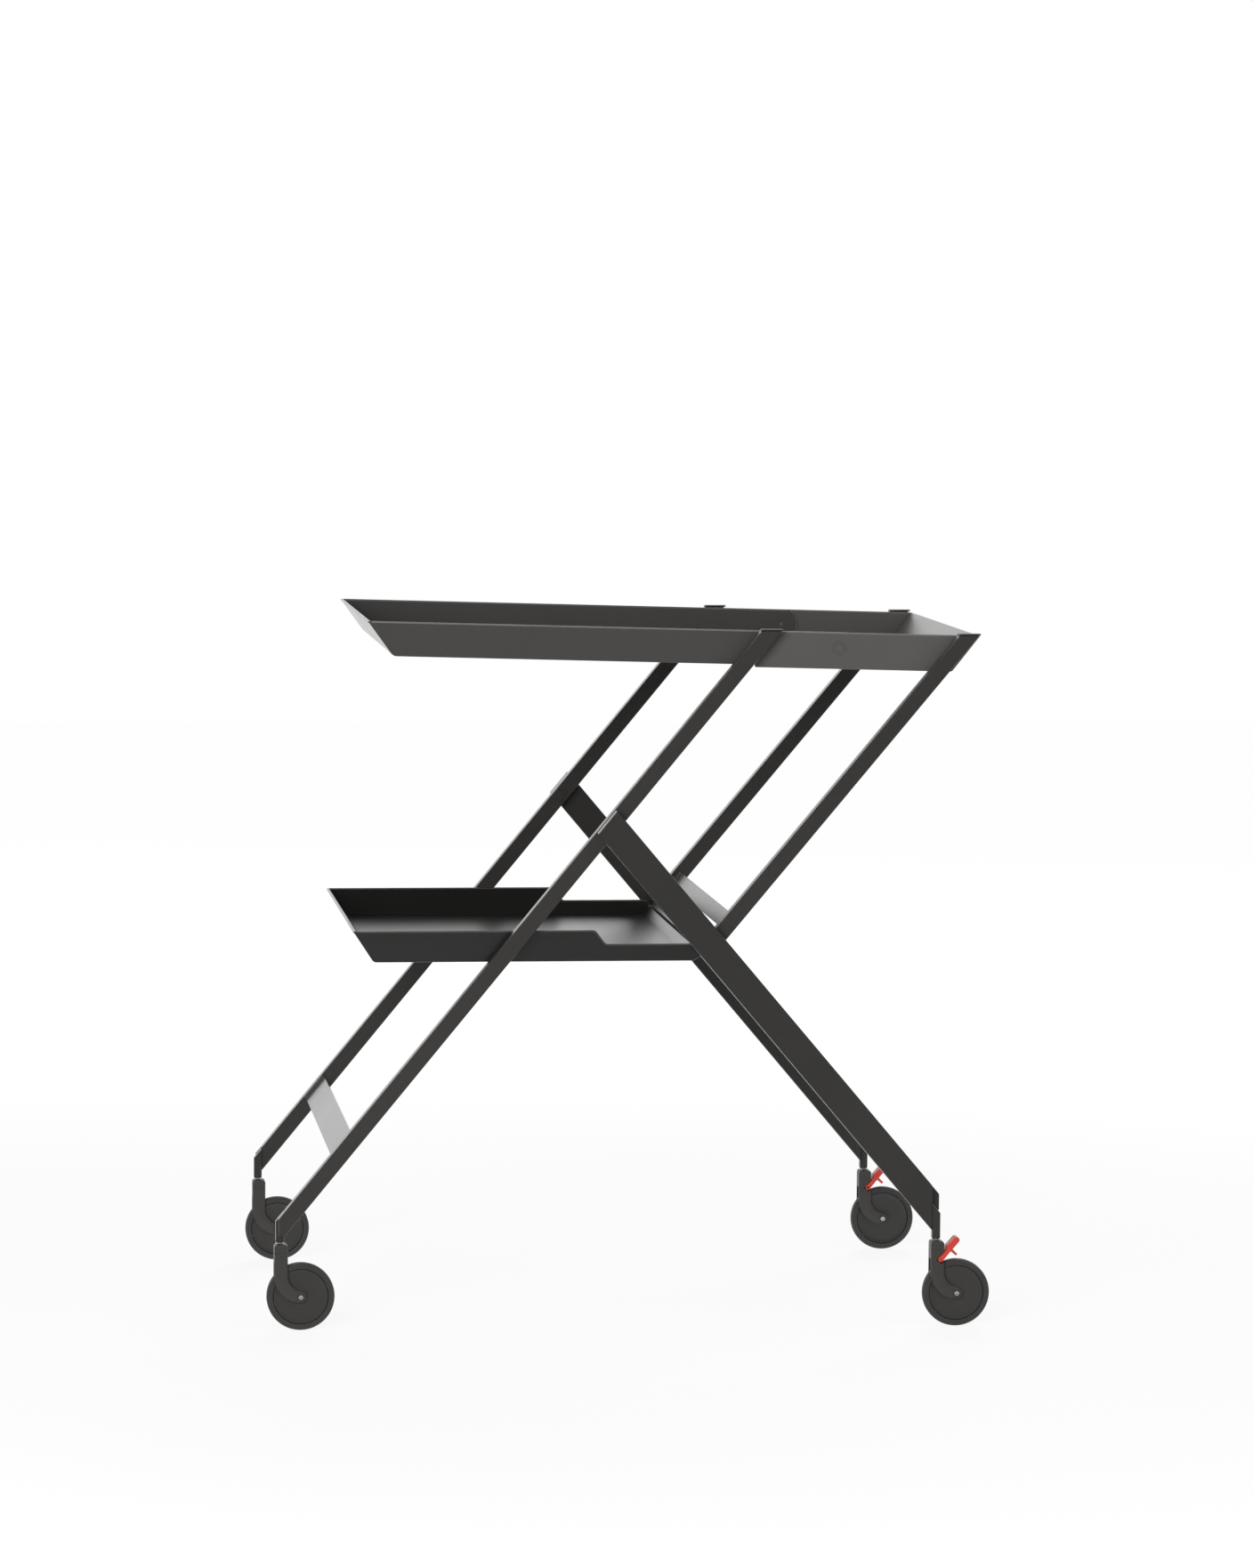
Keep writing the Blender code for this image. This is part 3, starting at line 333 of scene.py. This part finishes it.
def turned(profile, upright=False, steps=96, closed=False):
    """A shape turned from (radius, along) points, about Y or, if upright, about Z."""
    shape = bmesh.new()
    circles = []
    for radius, along in profile:
        circle = []
        for i in range(steps):
            angle = math.tau * i / steps
            side, up = radius * math.cos(angle), radius * math.sin(angle)
            circle.append(shape.verts.new((side, up, along) if upright else (side, along, up)))
        circles.append(circle)
    pairs = list(zip(circles, circles[1:]))
    if closed:
        pairs.append((circles[-1], circles[0]))
    for first, second in pairs:
        for i in range(steps):
            j = (i + 1) % steps
            shape.faces.new((first[i], first[j], second[j], second[i]))
    if not closed:
        shape.faces.new(circles[0])
        shape.faces.new(circles[-1])
    bmesh.ops.recalc_face_normals(shape, faces=shape.faces)
    return shape


def to_object(name, shape, finish_material):
    """Links a shape as an object at the origin."""
    mesh = bpy.data.meshes.new(name)
    shape.to_mesh(mesh)
    shape.free()
    mesh.materials.append(finish_material)
    made = bpy.data.objects.new(name, mesh)
    bpy.context.scene.collection.objects.link(made)
    return made


def soften(made, width, segments=3):
    """Rounds an object's sharp edges."""
    bevel = made.modifiers.new("soft edges", "BEVEL")
    bevel.width = width
    bevel.segments = segments
    bevel.limit_method = "ANGLE"
    bevel.angle_limit = math.radians(BEVELLED_EDGE)


def take_out(made, shape):
    """Cuts a shape out of an object."""
    cutter = to_object("cutter", shape, fork_nylon)
    cut = made.modifiers.new("cut", "BOOLEAN")
    cut.operation = "DIFFERENCE"
    cut.object = cutter
    return cutter


def add_shape(made, shape):
    """Adds a loose shape to an object's mesh."""
    shape.from_mesh(made.data)
    shape.to_mesh(made.data)
    shape.free()
    made.data.shade_smooth()
    made.data.set_sharp_from_angle(angle=math.radians(SHARP_EDGE))


def settle(made, cutters=()):
    """Turns an object with its modifiers into a plain smooth mesh."""
    bpy.context.view_layer.update()
    evaluated = made.evaluated_get(bpy.context.evaluated_depsgraph_get())
    mesh = bpy.data.meshes.new_from_object(evaluated)
    made.modifiers.clear()
    made.data = mesh
    for cutter in cutters:
        bpy.data.objects.remove(cutter, do_unlink=True)
    mesh.shade_smooth()
    mesh.set_sharp_from_angle(angle=math.radians(SHARP_EDGE))
    return made


def placed_copy(template, name, offset, mirror=False):
    """A copy of a mesh with its place in the mesh, mirrored across the trolley if asked."""
    mesh = template.data.copy()
    matrix = Matrix.Translation(offset) @ Matrix.Diagonal((1, -1 if mirror else 1, 1, 1))
    mesh.transform(matrix)
    if mirror:
        mesh.flip_normals()
    made = bpy.data.objects.new(name, mesh)
    bpy.context.scene.collection.objects.link(made)
    return made


# Caster templates, with the swivel axis at zero

def sides_of_lever():
    """The lever's direction and the direction that its pad faces."""
    line = Vector((math.cos(math.radians(LEVER_ANGLE)), math.sin(math.radians(LEVER_ANGLE))))
    return line, Vector((-line.y, line.x))


def fork_outline():
    """A cheek that comes down straight, sweeps back to the axle and ends in a round eye."""
    axle = (TRAIL, WHEEL_RADIUS)
    top = FORK_HEIGHT - HEAD_ROUND
    outline = arc((OUTER_ROUND - FORK_FRONT, OUTER_CENTRE_HEIGHT), OUTER_ROUND, 180, LEG_END_DEG, 28)
    outline += arc(axle, EYE_RADIUS, EYE_START_DEG, EYE_END_DEG, 24)
    outline += arc((INNER_ROUND + FORK_BACK, INNER_CENTRE_HEIGHT), INNER_ROUND, LEG_END_DEG, 180, 24)
    outline += arc((FORK_BACK - HEAD_ROUND, top), HEAD_ROUND, 0, 90, 8)
    return outline + arc((HEAD_ROUND - FORK_FRONT, top), HEAD_ROUND, 90, 180, 8)


def wheel_slot():
    """A window in the fork's front, and an arch over the wheel behind it."""
    reach = WHEEL_RADIUS + WHEEL_GAP
    start = 180 - math.degrees(math.acos((SLOT_FRONT + TRAIL) / reach))
    arch = arc((TRAIL, WHEEL_RADIUS), reach, start, SLOT_END_DEG, 32)
    window = [(-CUT_ALONG, -CUT_UNDER), (-CUT_ALONG, SLOT_HEIGHT), (-SLOT_FRONT, SLOT_HEIGHT)]
    return [*window, *arch, (arch[-1].x, -CUT_UNDER)]


def lever_notch():
    """The room that the lever's cheeks swing in."""
    line, across = sides_of_lever()
    return [
        LEVER_PIVOT + across * NOTCH_MARGIN - line * NOTCH_MARGIN,
        LEVER_PIVOT + across * NOTCH_MARGIN + line * NOTCH_LENGTH,
        LEVER_PIVOT - across * NOTCH_DEPTH + line * NOTCH_LENGTH,
        LEVER_PIVOT - across * NOTCH_MARGIN - line * NOTCH_MARGIN,
    ]


def fork_template(braked):
    """A moulded fork: two cheeks under a slimmer head, with a raised eye round the axle."""
    fork = to_object("fork template", prism(fork_outline(), -FORK_HALF_WIDTH, FORK_HALF_WIDTH), fork_nylon)
    soften(fork, FORK_EDGE, 4)
    cutters = [take_out(fork, prism(wheel_slot(), -SLOT_HALF_WIDTH, SLOT_HALF_WIDTH))]
    head = FORK_HEIGHT - HEAD_DEPTH
    waist = [(-CUT_ALONG, head), (-CUT_ALONG, CUT_OVER), (CUT_ALONG, CUT_OVER), (CUT_ALONG, head)]
    for side in (-1, 1):
        step = sorted((side * (FORK_HALF_WIDTH - HEAD_STEP), side * CUT_SIDE))
        cutters.append(take_out(fork, prism(waist, *step)))
        if braked:
            cheek = sorted((side * FORK_TONGUE, side * CUT_SIDE))
            cutters.append(take_out(fork, prism(lever_notch(), *cheek)))
    settle(fork, cutters)
    eye = [
        (0.0032, 0.0079), (0.0044, 0.0079), (0.0044, 0.0084),
        (0.0041, 0.0087), (0.0035, 0.0087), (0.0032, 0.0084),
    ]
    for side in (-1, 1):
        boss = turned([(r, side * y) for r, y in eye], closed=True, steps=48)
        bmesh.ops.translate(boss, verts=boss.verts, vec=(TRAIL, 0, WHEEL_RADIUS))
        add_shape(fork, boss)
    return fork


def mirrored_profile(half):
    """A profile given for one side of the wheel, carried on to the other."""
    return half + [(radius, -along) for radius, along in reversed(half)]


def tyre_template():
    """A tyre with a raised bead against the core and round shoulders."""
    bead = [
        (0.02625, 0.0016), (0.0266, 0.0020), (0.0266, 0.0048),
        (0.0268, 0.0051), (0.0272, 0.0052), (0.0276, 0.0051),
    ]
    wall = [(0.0286, 0.0046), (0.0294, 0.0046)]
    shoulder = [(p.y, p.x) for p in arc((0.0019, 0.0296), 0.0029, 8, 84, 12)]
    half = bead + wall + shoulder + [(WHEEL_RADIUS, 0.0003)]
    shape = turned(mirrored_profile(half), closed=True, steps=160)
    return settle(to_object("tyre template", shape, tyre_rubber))


def core_template():
    """A disc with a shallow dish and a low hub."""
    half = [
        (0.0262, 0.0034), (0.0262, 0.0041), (0.0259, 0.0044), (0.0252, 0.0044), (0.0246, 0.0042),
        (0.0236, 0.0038), (0.0220, 0.0037), (0.0100, 0.0037), (0.0078, 0.0038),
        (0.0068, 0.0043), (0.0060, 0.0045),
        (0.0040, 0.0045), (0.0034, 0.0043), (0.0027, 0.0043),
    ]
    shape = turned(mirrored_profile(half), closed=True, steps=160)
    return settle(to_object("core template", shape, core_nylon))


def axle_template():
    """A headed pin: a low dome with a dished middle at each end."""
    end = [(0.0007, 0.00848), (0.0012, 0.00860), (0.0018, 0.00864), (0.0022, 0.00855), (0.0024, 0.0083)]
    profile = [(radius, -along) for radius, along in end] + list(reversed(end))
    return settle(to_object("axle template", turned(profile, steps=48), axle_steel))


def ridge_tree():
    """Rounded ridges in a row, for a thumb grip."""
    tree = bpy.data.node_groups.new("thumb ridges", "GeometryNodeTree")
    for name, kind, value in (
        ("Ridges", "NodeSocketInt", 5),
        ("Start", "NodeSocketVector", (0, 0, 0)), ("Step", "NodeSocketVector", (0, 0, 0)),
        ("Radius", "NodeSocketFloat", 0.0005), ("Width", "NodeSocketFloat", 0.0116),
    ):
        tree.interface.new_socket(name, in_out="INPUT", socket_type=kind).default_value = value
    tree.interface.new_socket("Geometry", in_out="OUTPUT", socket_type="NodeSocketGeometry")
    given, result = tree.nodes.new("NodeGroupInput"), tree.nodes.new("NodeGroupOutput")
    line = tree.nodes.new("GeometryNodeMeshLine")
    line.mode = "OFFSET"
    tree.links.new(given.outputs["Ridges"], line.inputs["Count"])
    tree.links.new(given.outputs["Start"], line.inputs["Start Location"])
    tree.links.new(given.outputs["Step"], line.inputs["Offset"])
    rod = add_node(tree, "GeometryNodeMeshCylinder", Vertices=16)
    tree.links.new(given.outputs["Radius"], rod.inputs["Radius"])
    tree.links.new(given.outputs["Width"], rod.inputs["Depth"])
    instances = tree.nodes.new("GeometryNodeInstanceOnPoints")
    instances.inputs["Rotation"].default_value = (math.pi / 2, 0, 0)
    tree.links.new(line.outputs["Mesh"], instances.inputs["Points"])
    tree.links.new(rod.outputs["Mesh"], instances.inputs["Instance"])
    real = tree.nodes.new("GeometryNodeRealizeInstances")
    coloured = add_node(tree, "GeometryNodeSetMaterial", Material=lever_nylon)
    tree.links.new(instances.outputs[0], real.inputs[0])
    tree.links.new(real.outputs[0], coloured.inputs["Geometry"])
    tree.links.new(coloured.outputs["Geometry"], result.inputs["Geometry"])
    return tree


def socket_id(tree, name):
    """The identifier of a group's input."""
    inputs = [item for item in tree.interface.items_tree if item.in_out == "INPUT"]
    return next(item.identifier for item in inputs if item.name == name)


def lever_template():
    """A thin bar that straddles the fork's tongue, with a thick ridged pad and a prong over the tyre."""
    line, side = sides_of_lever()
    heel = math.degrees(math.atan2(side.y, side.x))
    outline = arc(LEVER_PIVOT, LEVER_HEEL, heel, heel + 180, 12)
    for along, down in ((0.0122, 0.0020), (0.0124, 0.0086), (0.0146, 0.0088), (0.0150, 0.0020)):
        outline.append(LEVER_PIVOT + line * along - side * down)
    pad = LEVER_PIVOT + line * PAD_CENTRE_ALONG + side * PAD_CENTRE_OUT
    outline += arc(pad, PAD_RADIUS, heel - 180, heel, 14)
    outline += [LEVER_PIVOT + line * 0.0132 + side * 0.0036, LEVER_PIVOT + line * 0.0102 + side * 0.0020]
    lever = to_object("lever template", prism(outline, -LEVER_HALF_WIDTH, LEVER_HALF_WIDTH), lever_nylon)
    soften(lever, LEVER_EDGE, 3)
    back = FORK_BACK + 0.0006
    gap = [(-0.02, 0.03), (-0.02, 0.10), (back, 0.10), (back, 0.03)]
    settle(lever, [take_out(lever, prism(gap, -LEVER_TONGUE_GAP, LEVER_TONGUE_GAP))])
    tree = ridge_tree()
    grip = to_object("grip template", bmesh.new(), lever_nylon)
    ridges = grip.modifiers.new("thumb ridges", "NODES")
    ridges.node_group = tree
    start = LEVER_PIVOT + line * RIDGE_ALONG + side * RIDGE_OUT
    ridges[socket_id(tree, "Start")] = (start.x, 0.0, start.y)
    ridges[socket_id(tree, "Step")] = (line.x * RIDGE_STEP, 0.0, line.y * RIDGE_STEP)
    settle(grip)
    ridge_shape = bmesh.new()
    ridge_shape.from_mesh(grip.data)
    bpy.data.objects.remove(grip, do_unlink=True)
    add_shape(lever, ridge_shape)
    return lever


def race_template():
    """The bright race between a stem and its fork."""
    half = [
        (0.0028, 0.0002), (0.0036, 0.0002), (0.0040, 0.0005),
        (0.0040, 0.0011), (0.0037, 0.0014), (0.0028, 0.0014),
    ]
    return settle(to_object("race template", turned(half, upright=True, closed=True, steps=48), axle_steel))


def middle(node):
    """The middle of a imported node's box."""
    low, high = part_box(node)
    return (Vector(low) + Vector(high)) / 2


def dress_casters():
    """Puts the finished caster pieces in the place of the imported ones."""
    forks = {False: fork_template(False), True: fork_template(True)}
    tyre, core, axle = tyre_template(), core_template(), axle_template()
    lever, race = lever_template(), race_template()
    for end in ("front", "rear"):
        for side in ("left", "right"):
            corner = f"{end}_{side}"
            stem = middle(f"swivel_pin_{corner}")
            stem_place = Vector((stem.x, stem.y, 0))
            wheel_place = Vector((stem.x + TRAIL, stem.y, WHEEL_RADIUS))
            braked = end == "rear"
            pieces = [
                (forks[braked], "fork", stem_place,
                 f"caster_{corner}", "fork_plastic", f"caster_fork_{corner}"),
                (tyre, "tyre", wheel_place, f"wheel_{corner}", "tyre", f"tyre_{corner}"),
                (core, "core", wheel_place, f"wheel_{corner}", "wheel_plastic", f"wheel_core_{corner}"),
                (axle, "axle", wheel_place, f"caster_{corner}", "bright_steel", f"wheel_axle_{corner}"),
            ]
            if braked:
                brake = f"brake_lever_{corner}"
                pieces.append((lever, "lever", stem_place, brake, "lever_plastic", brake))
            for template, kind, place, body, slot, node in pieces:
                piece = placed_copy(template, f"{kind}_{corner}_dressed", place)
                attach(piece, body)
                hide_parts(node)
            bright = placed_copy(race, f"swivel_race_{corner}", stem_place + Vector((0, 0, FORK_HEIGHT)))
            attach(bright, "front_frame" if end == "front" else "rear_legs")
    for template in (*forks.values(), tyre, core, axle, lever, race):
        bpy.data.objects.remove(template, do_unlink=True)


# Rivets and seams

def dress_rivet(node, body, head_outside, head_radius, shank_radius, coat):
    """A pin whose flat head has a turned groove and a chamfer."""
    low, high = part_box(node)
    place = middle(node)
    side = 1 if place.y > 0 else -1
    near, far = sorted((abs(low[1]), abs(high[1])))
    face, way = (far, 1) if head_outside else (near, -1)
    head = [
        (0.10, 0), (0.58, 0), (0.63, 0.0004), (0.74, 0.0004), (0.79, 0),
        (0.93, 0), (0.985, 0.00015), (1, 0.0004), (1, RIVET_HEAD_DEPTH),
    ]
    profile = [(head_radius * share, side * (face - way * depth)) for share, depth in head]
    profile.append((shank_radius, side * (face - way * RIVET_HEAD_DEPTH)))
    profile.append((shank_radius, side * (near if head_outside else far)))
    rivet = to_object(f"{node}_dressed", turned(profile, steps=72), coat)
    rivet.data.transform(Matrix.Translation((place.x, 0, place.z)))
    settle(rivet)
    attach(rivet, body)
    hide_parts(node)


def tube_along(name, points, radius, coat):
    """A round bead of coat along points."""
    curve = bpy.data.curves.new(name, "CURVE")
    curve.dimensions = "3D"
    curve.bevel_depth = radius
    curve.bevel_resolution = 3
    curve.use_fill_caps = True
    line = curve.splines.new("POLY")
    line.points.add(len(points) - 1)
    for slot, point in zip(line.points, points):
        slot.co = (*point, 1)
    made = bpy.data.objects.new(f"{name}_path", curve)
    bpy.context.scene.collection.objects.link(made)
    bpy.context.view_layer.update()
    mesh = bpy.data.meshes.new_from_object(made.evaluated_get(bpy.context.evaluated_depsgraph_get()))
    bpy.data.objects.remove(made, do_unlink=True)
    mesh.materials.clear()
    mesh.materials.append(coat)
    mesh.shade_smooth()
    bead = bpy.data.objects.new(name, mesh)
    bpy.context.scene.collection.objects.link(bead)
    return bead


def bend(before, corner, after, radius, steps=5):
    """Points that round a corner."""
    into, out = (before - corner).normalized(), (after - corner).normalized()
    start, end = corner + into * radius, corner + out * radius
    points = []
    for i in range(steps + 1):
        share = i / steps
        points.append(start * (1 - share) ** 2 + corner * 2 * share * (1 - share) + end * share ** 2)
    return points


def ride_as_highlight(piece, body):
    """Puts a bead on a body; its coat is lighter than the trays' paint, a painted highlight."""
    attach(piece, body)


def dress_upper_tray():
    """Rounds the rims of both parts, and the seam between them, with beads whose lighter coat is a painted
    highlight.
    """
    low, high = (Vector(corner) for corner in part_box("top_tray_front"))
    rear_low, rear_high = (Vector(corner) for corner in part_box("top_tray_rear"))
    hinge = middle("tray_hinge_pin_left")
    fall = math.tan(math.radians(TRAY_TILT))

    def on_rim(x, y):
        return Vector((x, y, high.z - RIM_SINK - (x - low.x) * fall))

    edge, wall = low.x + RIM_INSET, high.y - RIM_INSET
    round_end = hinge.x + FRONT_RIM_PAST_HINGE
    corners = [on_rim(round_end, -wall), on_rim(edge, -wall), on_rim(edge, wall), on_rim(round_end, wall)]
    path = [corners[0], *bend(*corners[:3], RIM_BEND), *bend(*corners[1:], RIM_BEND), corners[3]]
    ride_as_highlight(tube_along("top_tray_front_rim", path, RIM_ROUND, rim_highlight_coat), "top_tray_front")
    edge, wall = rear_high.x - RIM_INSET, rear_high.y - RIM_INSET
    tail = rear_low.x + REAR_RIM_FROM_TAIL
    corners = [on_rim(tail, -wall), on_rim(edge, -wall), on_rim(edge, wall), on_rim(tail, wall)]
    path = [corners[0], *bend(*corners[:3], RIM_BEND), *bend(*corners[1:], RIM_BEND), corners[3]]
    ride_as_highlight(tube_along("top_tray_rear_rim", path, RIM_ROUND, rim_highlight_coat), "top_tray_rear")
    for side_name, side in (("left", -1), ("right", 1)):
        inner = (high.y - SEAM_INSET) * side
        end = arc((hinge.x, hinge.z), SEAM_RADIUS, SEAM_START_DEG, SEAM_END_DEG, 24)
        path = [Vector((p.x, inner, p.y)) for p in end]
        ride_as_highlight(tube_along(f"top_tray_seam_{side_name}", path, SEAM_BEAD, rim_highlight_coat), "top_tray_front")


def dress_lower_tray():
    """Rounds the lower tray's rim, down over the notch at its open end, with a bead whose lighter coat is a
    painted highlight.
    """
    low, high = (Vector(corner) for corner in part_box("lower_tray"))
    pivot = middle("lower_tray_pin_left")
    edge, wall, top = low.x + RIM_INSET, high.y - RIM_INSET, high.z - RIM_SINK
    drop = top - LOW_WALL_DROP
    near = [
        Vector((pivot.x - LOW_WALL_END, -wall, drop)), Vector((pivot.x - LOW_WALL_START, -wall, drop)),
        Vector((pivot.x - FULL_WALL_END, -wall, top)), Vector((edge, -wall, top)),
    ]
    far = [Vector((point.x, wall, point.z)) for point in reversed(near)]
    corners = near + far
    path = [corners[0]]
    for before, corner, after in zip(corners, corners[1:], corners[2:]):
        path += bend(before, corner, after, RIM_BEND)
    path.append(corners[-1])
    ride_as_highlight(tube_along("lower_tray_rim", path, RIM_ROUND, lower_rim_highlight_coat), "lower_tray")


def dress_rivets():
    """Gives the four rivets that show their finished heads."""
    for side_name in ("left", "right"):
        hinge, pivot = f"tray_hinge_pin_{side_name}", f"main_pivot_pin_{side_name}"
        # The hinge rivets take the rear tray's coat, with its painted light
        dress_rivet(hinge, "top_tray_front", True, HINGE_HEAD, HINGE_SHANK, rear_tray_light_coat)
        dress_rivet(pivot, "front_frame", False, PIVOT_HEAD, PIVOT_SHANK, bar_coat)


def coat_frame():
    """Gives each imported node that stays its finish."""
    coats = {
        "front_bar_cap": cap_plastic, "rear_strut_cap": cap_plastic,
        "front_bar": bar_coat, "front_stem": leg_shade_coat,
        "front_cross_plate": plate_sheen_coat, "strut_cross_plate": plate_sheen_coat,
        "rear_leg": leg_shade_coat, "rear_stem": leg_shade_coat, "rear_strut": bar_coat,
        "top_tray_rear": rear_tray_light_coat, "top_tray_front": tray_coat,
        "lower_tray_pin": pin_steel, "lower_tray": lower_tray_shade_coat,
        "swivel_pin": axle_steel, "wheel_axle": axle_steel,
        "caster_fork": fork_nylon, "wheel_core": core_nylon,
        "tyre": tyre_rubber, "brake_lever": lever_nylon,
    }
    for name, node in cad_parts.items():
        coat = next((coats[start] for start in coats if name.startswith(start)), pin_steel)
        node.data.materials.clear()
        node.data.materials.append(coat)


# Studio

def white_world():
    """White where it is seen. Mirrored, it is white behind the trolley and dimmer in front.

    What it lights, it lights at a plain level.
    """
    world = bpy.data.worlds.new("white studio")
    bpy.context.scene.world = world
    world.use_nodes = True
    tree = world.node_tree
    tree.nodes.clear()
    path = tree.nodes.new("ShaderNodeLightPath")
    direction = tree.nodes.new("ShaderNodeTexCoord")
    axes = tree.nodes.new("ShaderNodeSeparateXYZ")
    tree.links.new(direction.outputs["Generated"], axes.inputs[0])
    behind = add_node(tree, "ShaderNodeMapRange", interpolation_type="SMOOTHSTEP")
    for name, value in (("From Min", -0.7), ("From Max", 0.35), ("To Min", 0.12), ("To Max", 1.0)):
        behind.inputs[name].default_value = value
    tree.links.new(axes.outputs["Y"], behind.inputs["Value"])
    mirrored = add_node(tree, "ShaderNodeMath", operation="MAXIMUM")
    tree.links.new(path.outputs["Is Glossy Ray"], mirrored.inputs[0])
    tree.links.new(path.outputs["Is Transmission Ray"], mirrored.inputs[1])
    plain = add_node(tree, "ShaderNodeBackground", Color=(1, 1, 1, 1), Strength=0.24)
    glossy = add_node(tree, "ShaderNodeBackground", Color=(1, 1, 1, 1))
    tree.links.new(behind.outputs["Result"], glossy.inputs["Strength"])
    white = add_node(tree, "ShaderNodeBackground", Color=(1, 1, 1, 1), Strength=1.0)
    lit = tree.nodes.new("ShaderNodeMixShader")
    tree.links.new(mirrored.outputs[0], lit.inputs[0])
    tree.links.new(plain.outputs[0], lit.inputs[1])
    tree.links.new(glossy.outputs[0], lit.inputs[2])
    seen = tree.nodes.new("ShaderNodeMixShader")
    tree.links.new(path.outputs["Is Camera Ray"], seen.inputs[0])
    tree.links.new(lit.outputs[0], seen.inputs[1])
    tree.links.new(white.outputs[0], seen.inputs[2])
    output = tree.nodes.new("ShaderNodeOutputWorld")
    tree.links.new(seen.outputs[0], output.inputs[0])


def studio_floor():
    """A white floor that keeps a faint shadow. It glows where it is seen, or mirrored behind the trolley."""
    material = bpy.data.materials.new("studio floor")
    material.use_nodes = True
    tree = material.node_tree
    tree.nodes.clear()
    matt = add_node(tree, "ShaderNodeBsdfDiffuse", Color=(0.6, 0.6, 0.6, 1))
    glow = add_node(tree, "ShaderNodeEmission", Color=(1, 1, 1, 1))
    path = tree.nodes.new("ShaderNodeLightPath")
    seen = add_node(tree, "ShaderNodeMath", operation="MAXIMUM")
    share = add_node(tree, "ShaderNodeMath", operation="MULTIPLY")
    share.inputs[1].default_value = 0.80
    mix = tree.nodes.new("ShaderNodeMixShader")
    coordinates = tree.nodes.new("ShaderNodeTexCoord")
    axes = tree.nodes.new("ShaderNodeSeparateXYZ")
    tree.links.new(coordinates.outputs["Object"], axes.inputs[0])
    behind = add_node(tree, "ShaderNodeMapRange", interpolation_type="SMOOTHSTEP")
    behind.inputs["From Min"].default_value = -0.8
    behind.inputs["From Max"].default_value = 0.4
    mirrored = add_node(tree, "ShaderNodeMath", operation="MULTIPLY")
    tree.links.new(axes.outputs["Y"], behind.inputs["Value"])
    tree.links.new(behind.outputs["Result"], mirrored.inputs[0])
    tree.links.new(path.outputs["Is Glossy Ray"], mirrored.inputs[1])
    tree.links.new(path.outputs["Is Camera Ray"], seen.inputs[0])
    tree.links.new(mirrored.outputs[0], seen.inputs[1])
    tree.links.new(seen.outputs[0], share.inputs[0])
    tree.links.new(share.outputs[0], mix.inputs[0])
    tree.links.new(matt.outputs[0], mix.inputs[1])
    tree.links.new(glow.outputs[0], mix.inputs[2])
    away = add_node(tree, "ShaderNodeVectorMath", operation="LENGTH")
    fade = add_node(tree, "ShaderNodeMapRange", interpolation_type="SMOOTHSTEP")
    for name, value in (("From Min", 0.7), ("From Max", 2.6), ("To Min", 1.10), ("To Max", 1.20)):
        fade.inputs[name].default_value = value
    tree.links.new(coordinates.outputs["Object"], away.inputs[0])
    tree.links.new(away.outputs["Value"], fade.inputs["Value"])
    tree.links.new(fade.outputs["Result"], glow.inputs["Strength"])
    output = tree.nodes.new("ShaderNodeOutputMaterial")
    tree.links.new(mix.outputs[0], output.inputs[0])
    shape = bmesh.new()
    bmesh.ops.create_grid(shape, x_segments=1, y_segments=1, size=5)
    bmesh.ops.translate(shape, verts=shape.verts, vec=(0, 2.4, 0))
    to_object("studio_floor", shape, material)


def lamp(name, place, target, size, watts):
    """A round lamp that isn't mirrored in the coats."""
    light = bpy.data.lights.new(name, "AREA")
    light.shape = "DISK"
    light.size = size
    light.energy = watts
    made = bpy.data.objects.new(name, light)
    bpy.context.scene.collection.objects.link(made)
    made.location = place
    made.visible_glossy = False
    made.rotation_euler = (Vector(target) - Vector(place)).to_track_quat("-Z", "Y").to_euler()


def photo_camera():
    """The photograph's view."""
    yaw, pitch, roll = math.radians(YAW), math.radians(PITCH), math.radians(ROLL)
    forward = Vector((math.sin(yaw) * math.cos(pitch), math.cos(yaw) * math.cos(pitch), -math.sin(pitch)))
    level = Vector((math.cos(yaw), -math.sin(yaw), 0))
    upright = level.cross(forward)
    right = level * math.cos(roll) + upright * math.sin(roll)
    up = upright * math.cos(roll) - level * math.sin(roll)
    data = bpy.data.cameras.new("photo camera")
    data.sensor_fit = "VERTICAL"
    data.sensor_height = SENSOR_HEIGHT
    data.lens = FOCAL_LENGTH / PHOTO_HEIGHT * SENSOR_HEIGHT
    data.clip_end = 100
    camera = bpy.data.objects.new("photo camera", data)
    bpy.context.scene.collection.objects.link(camera)
    turn = Matrix((right, up, -forward)).transposed().to_4x4()
    camera.matrix_world = Matrix.Translation(CAMERA_PLACE) @ turn
    bpy.context.scene.camera = camera


photo_camera()
coat_frame()
dress_casters()
dress_upper_tray()
dress_lower_tray()
dress_rivets()
white_world()
studio_floor()
lamp("key lamp", (-1.4, -3.0, 1.35), (0, 0, 0.4), 1.8, 84)
lamp("fill lamp", (2.2, -1.8, 1.8), (0, 0, 0.3), 2.0, 18)
lamp("back lamp", (0.9, 3.0, 2.2), (0, 0, 0.4), 2.0, 60)
bpy.context.scene.view_settings.view_transform = "Standard"
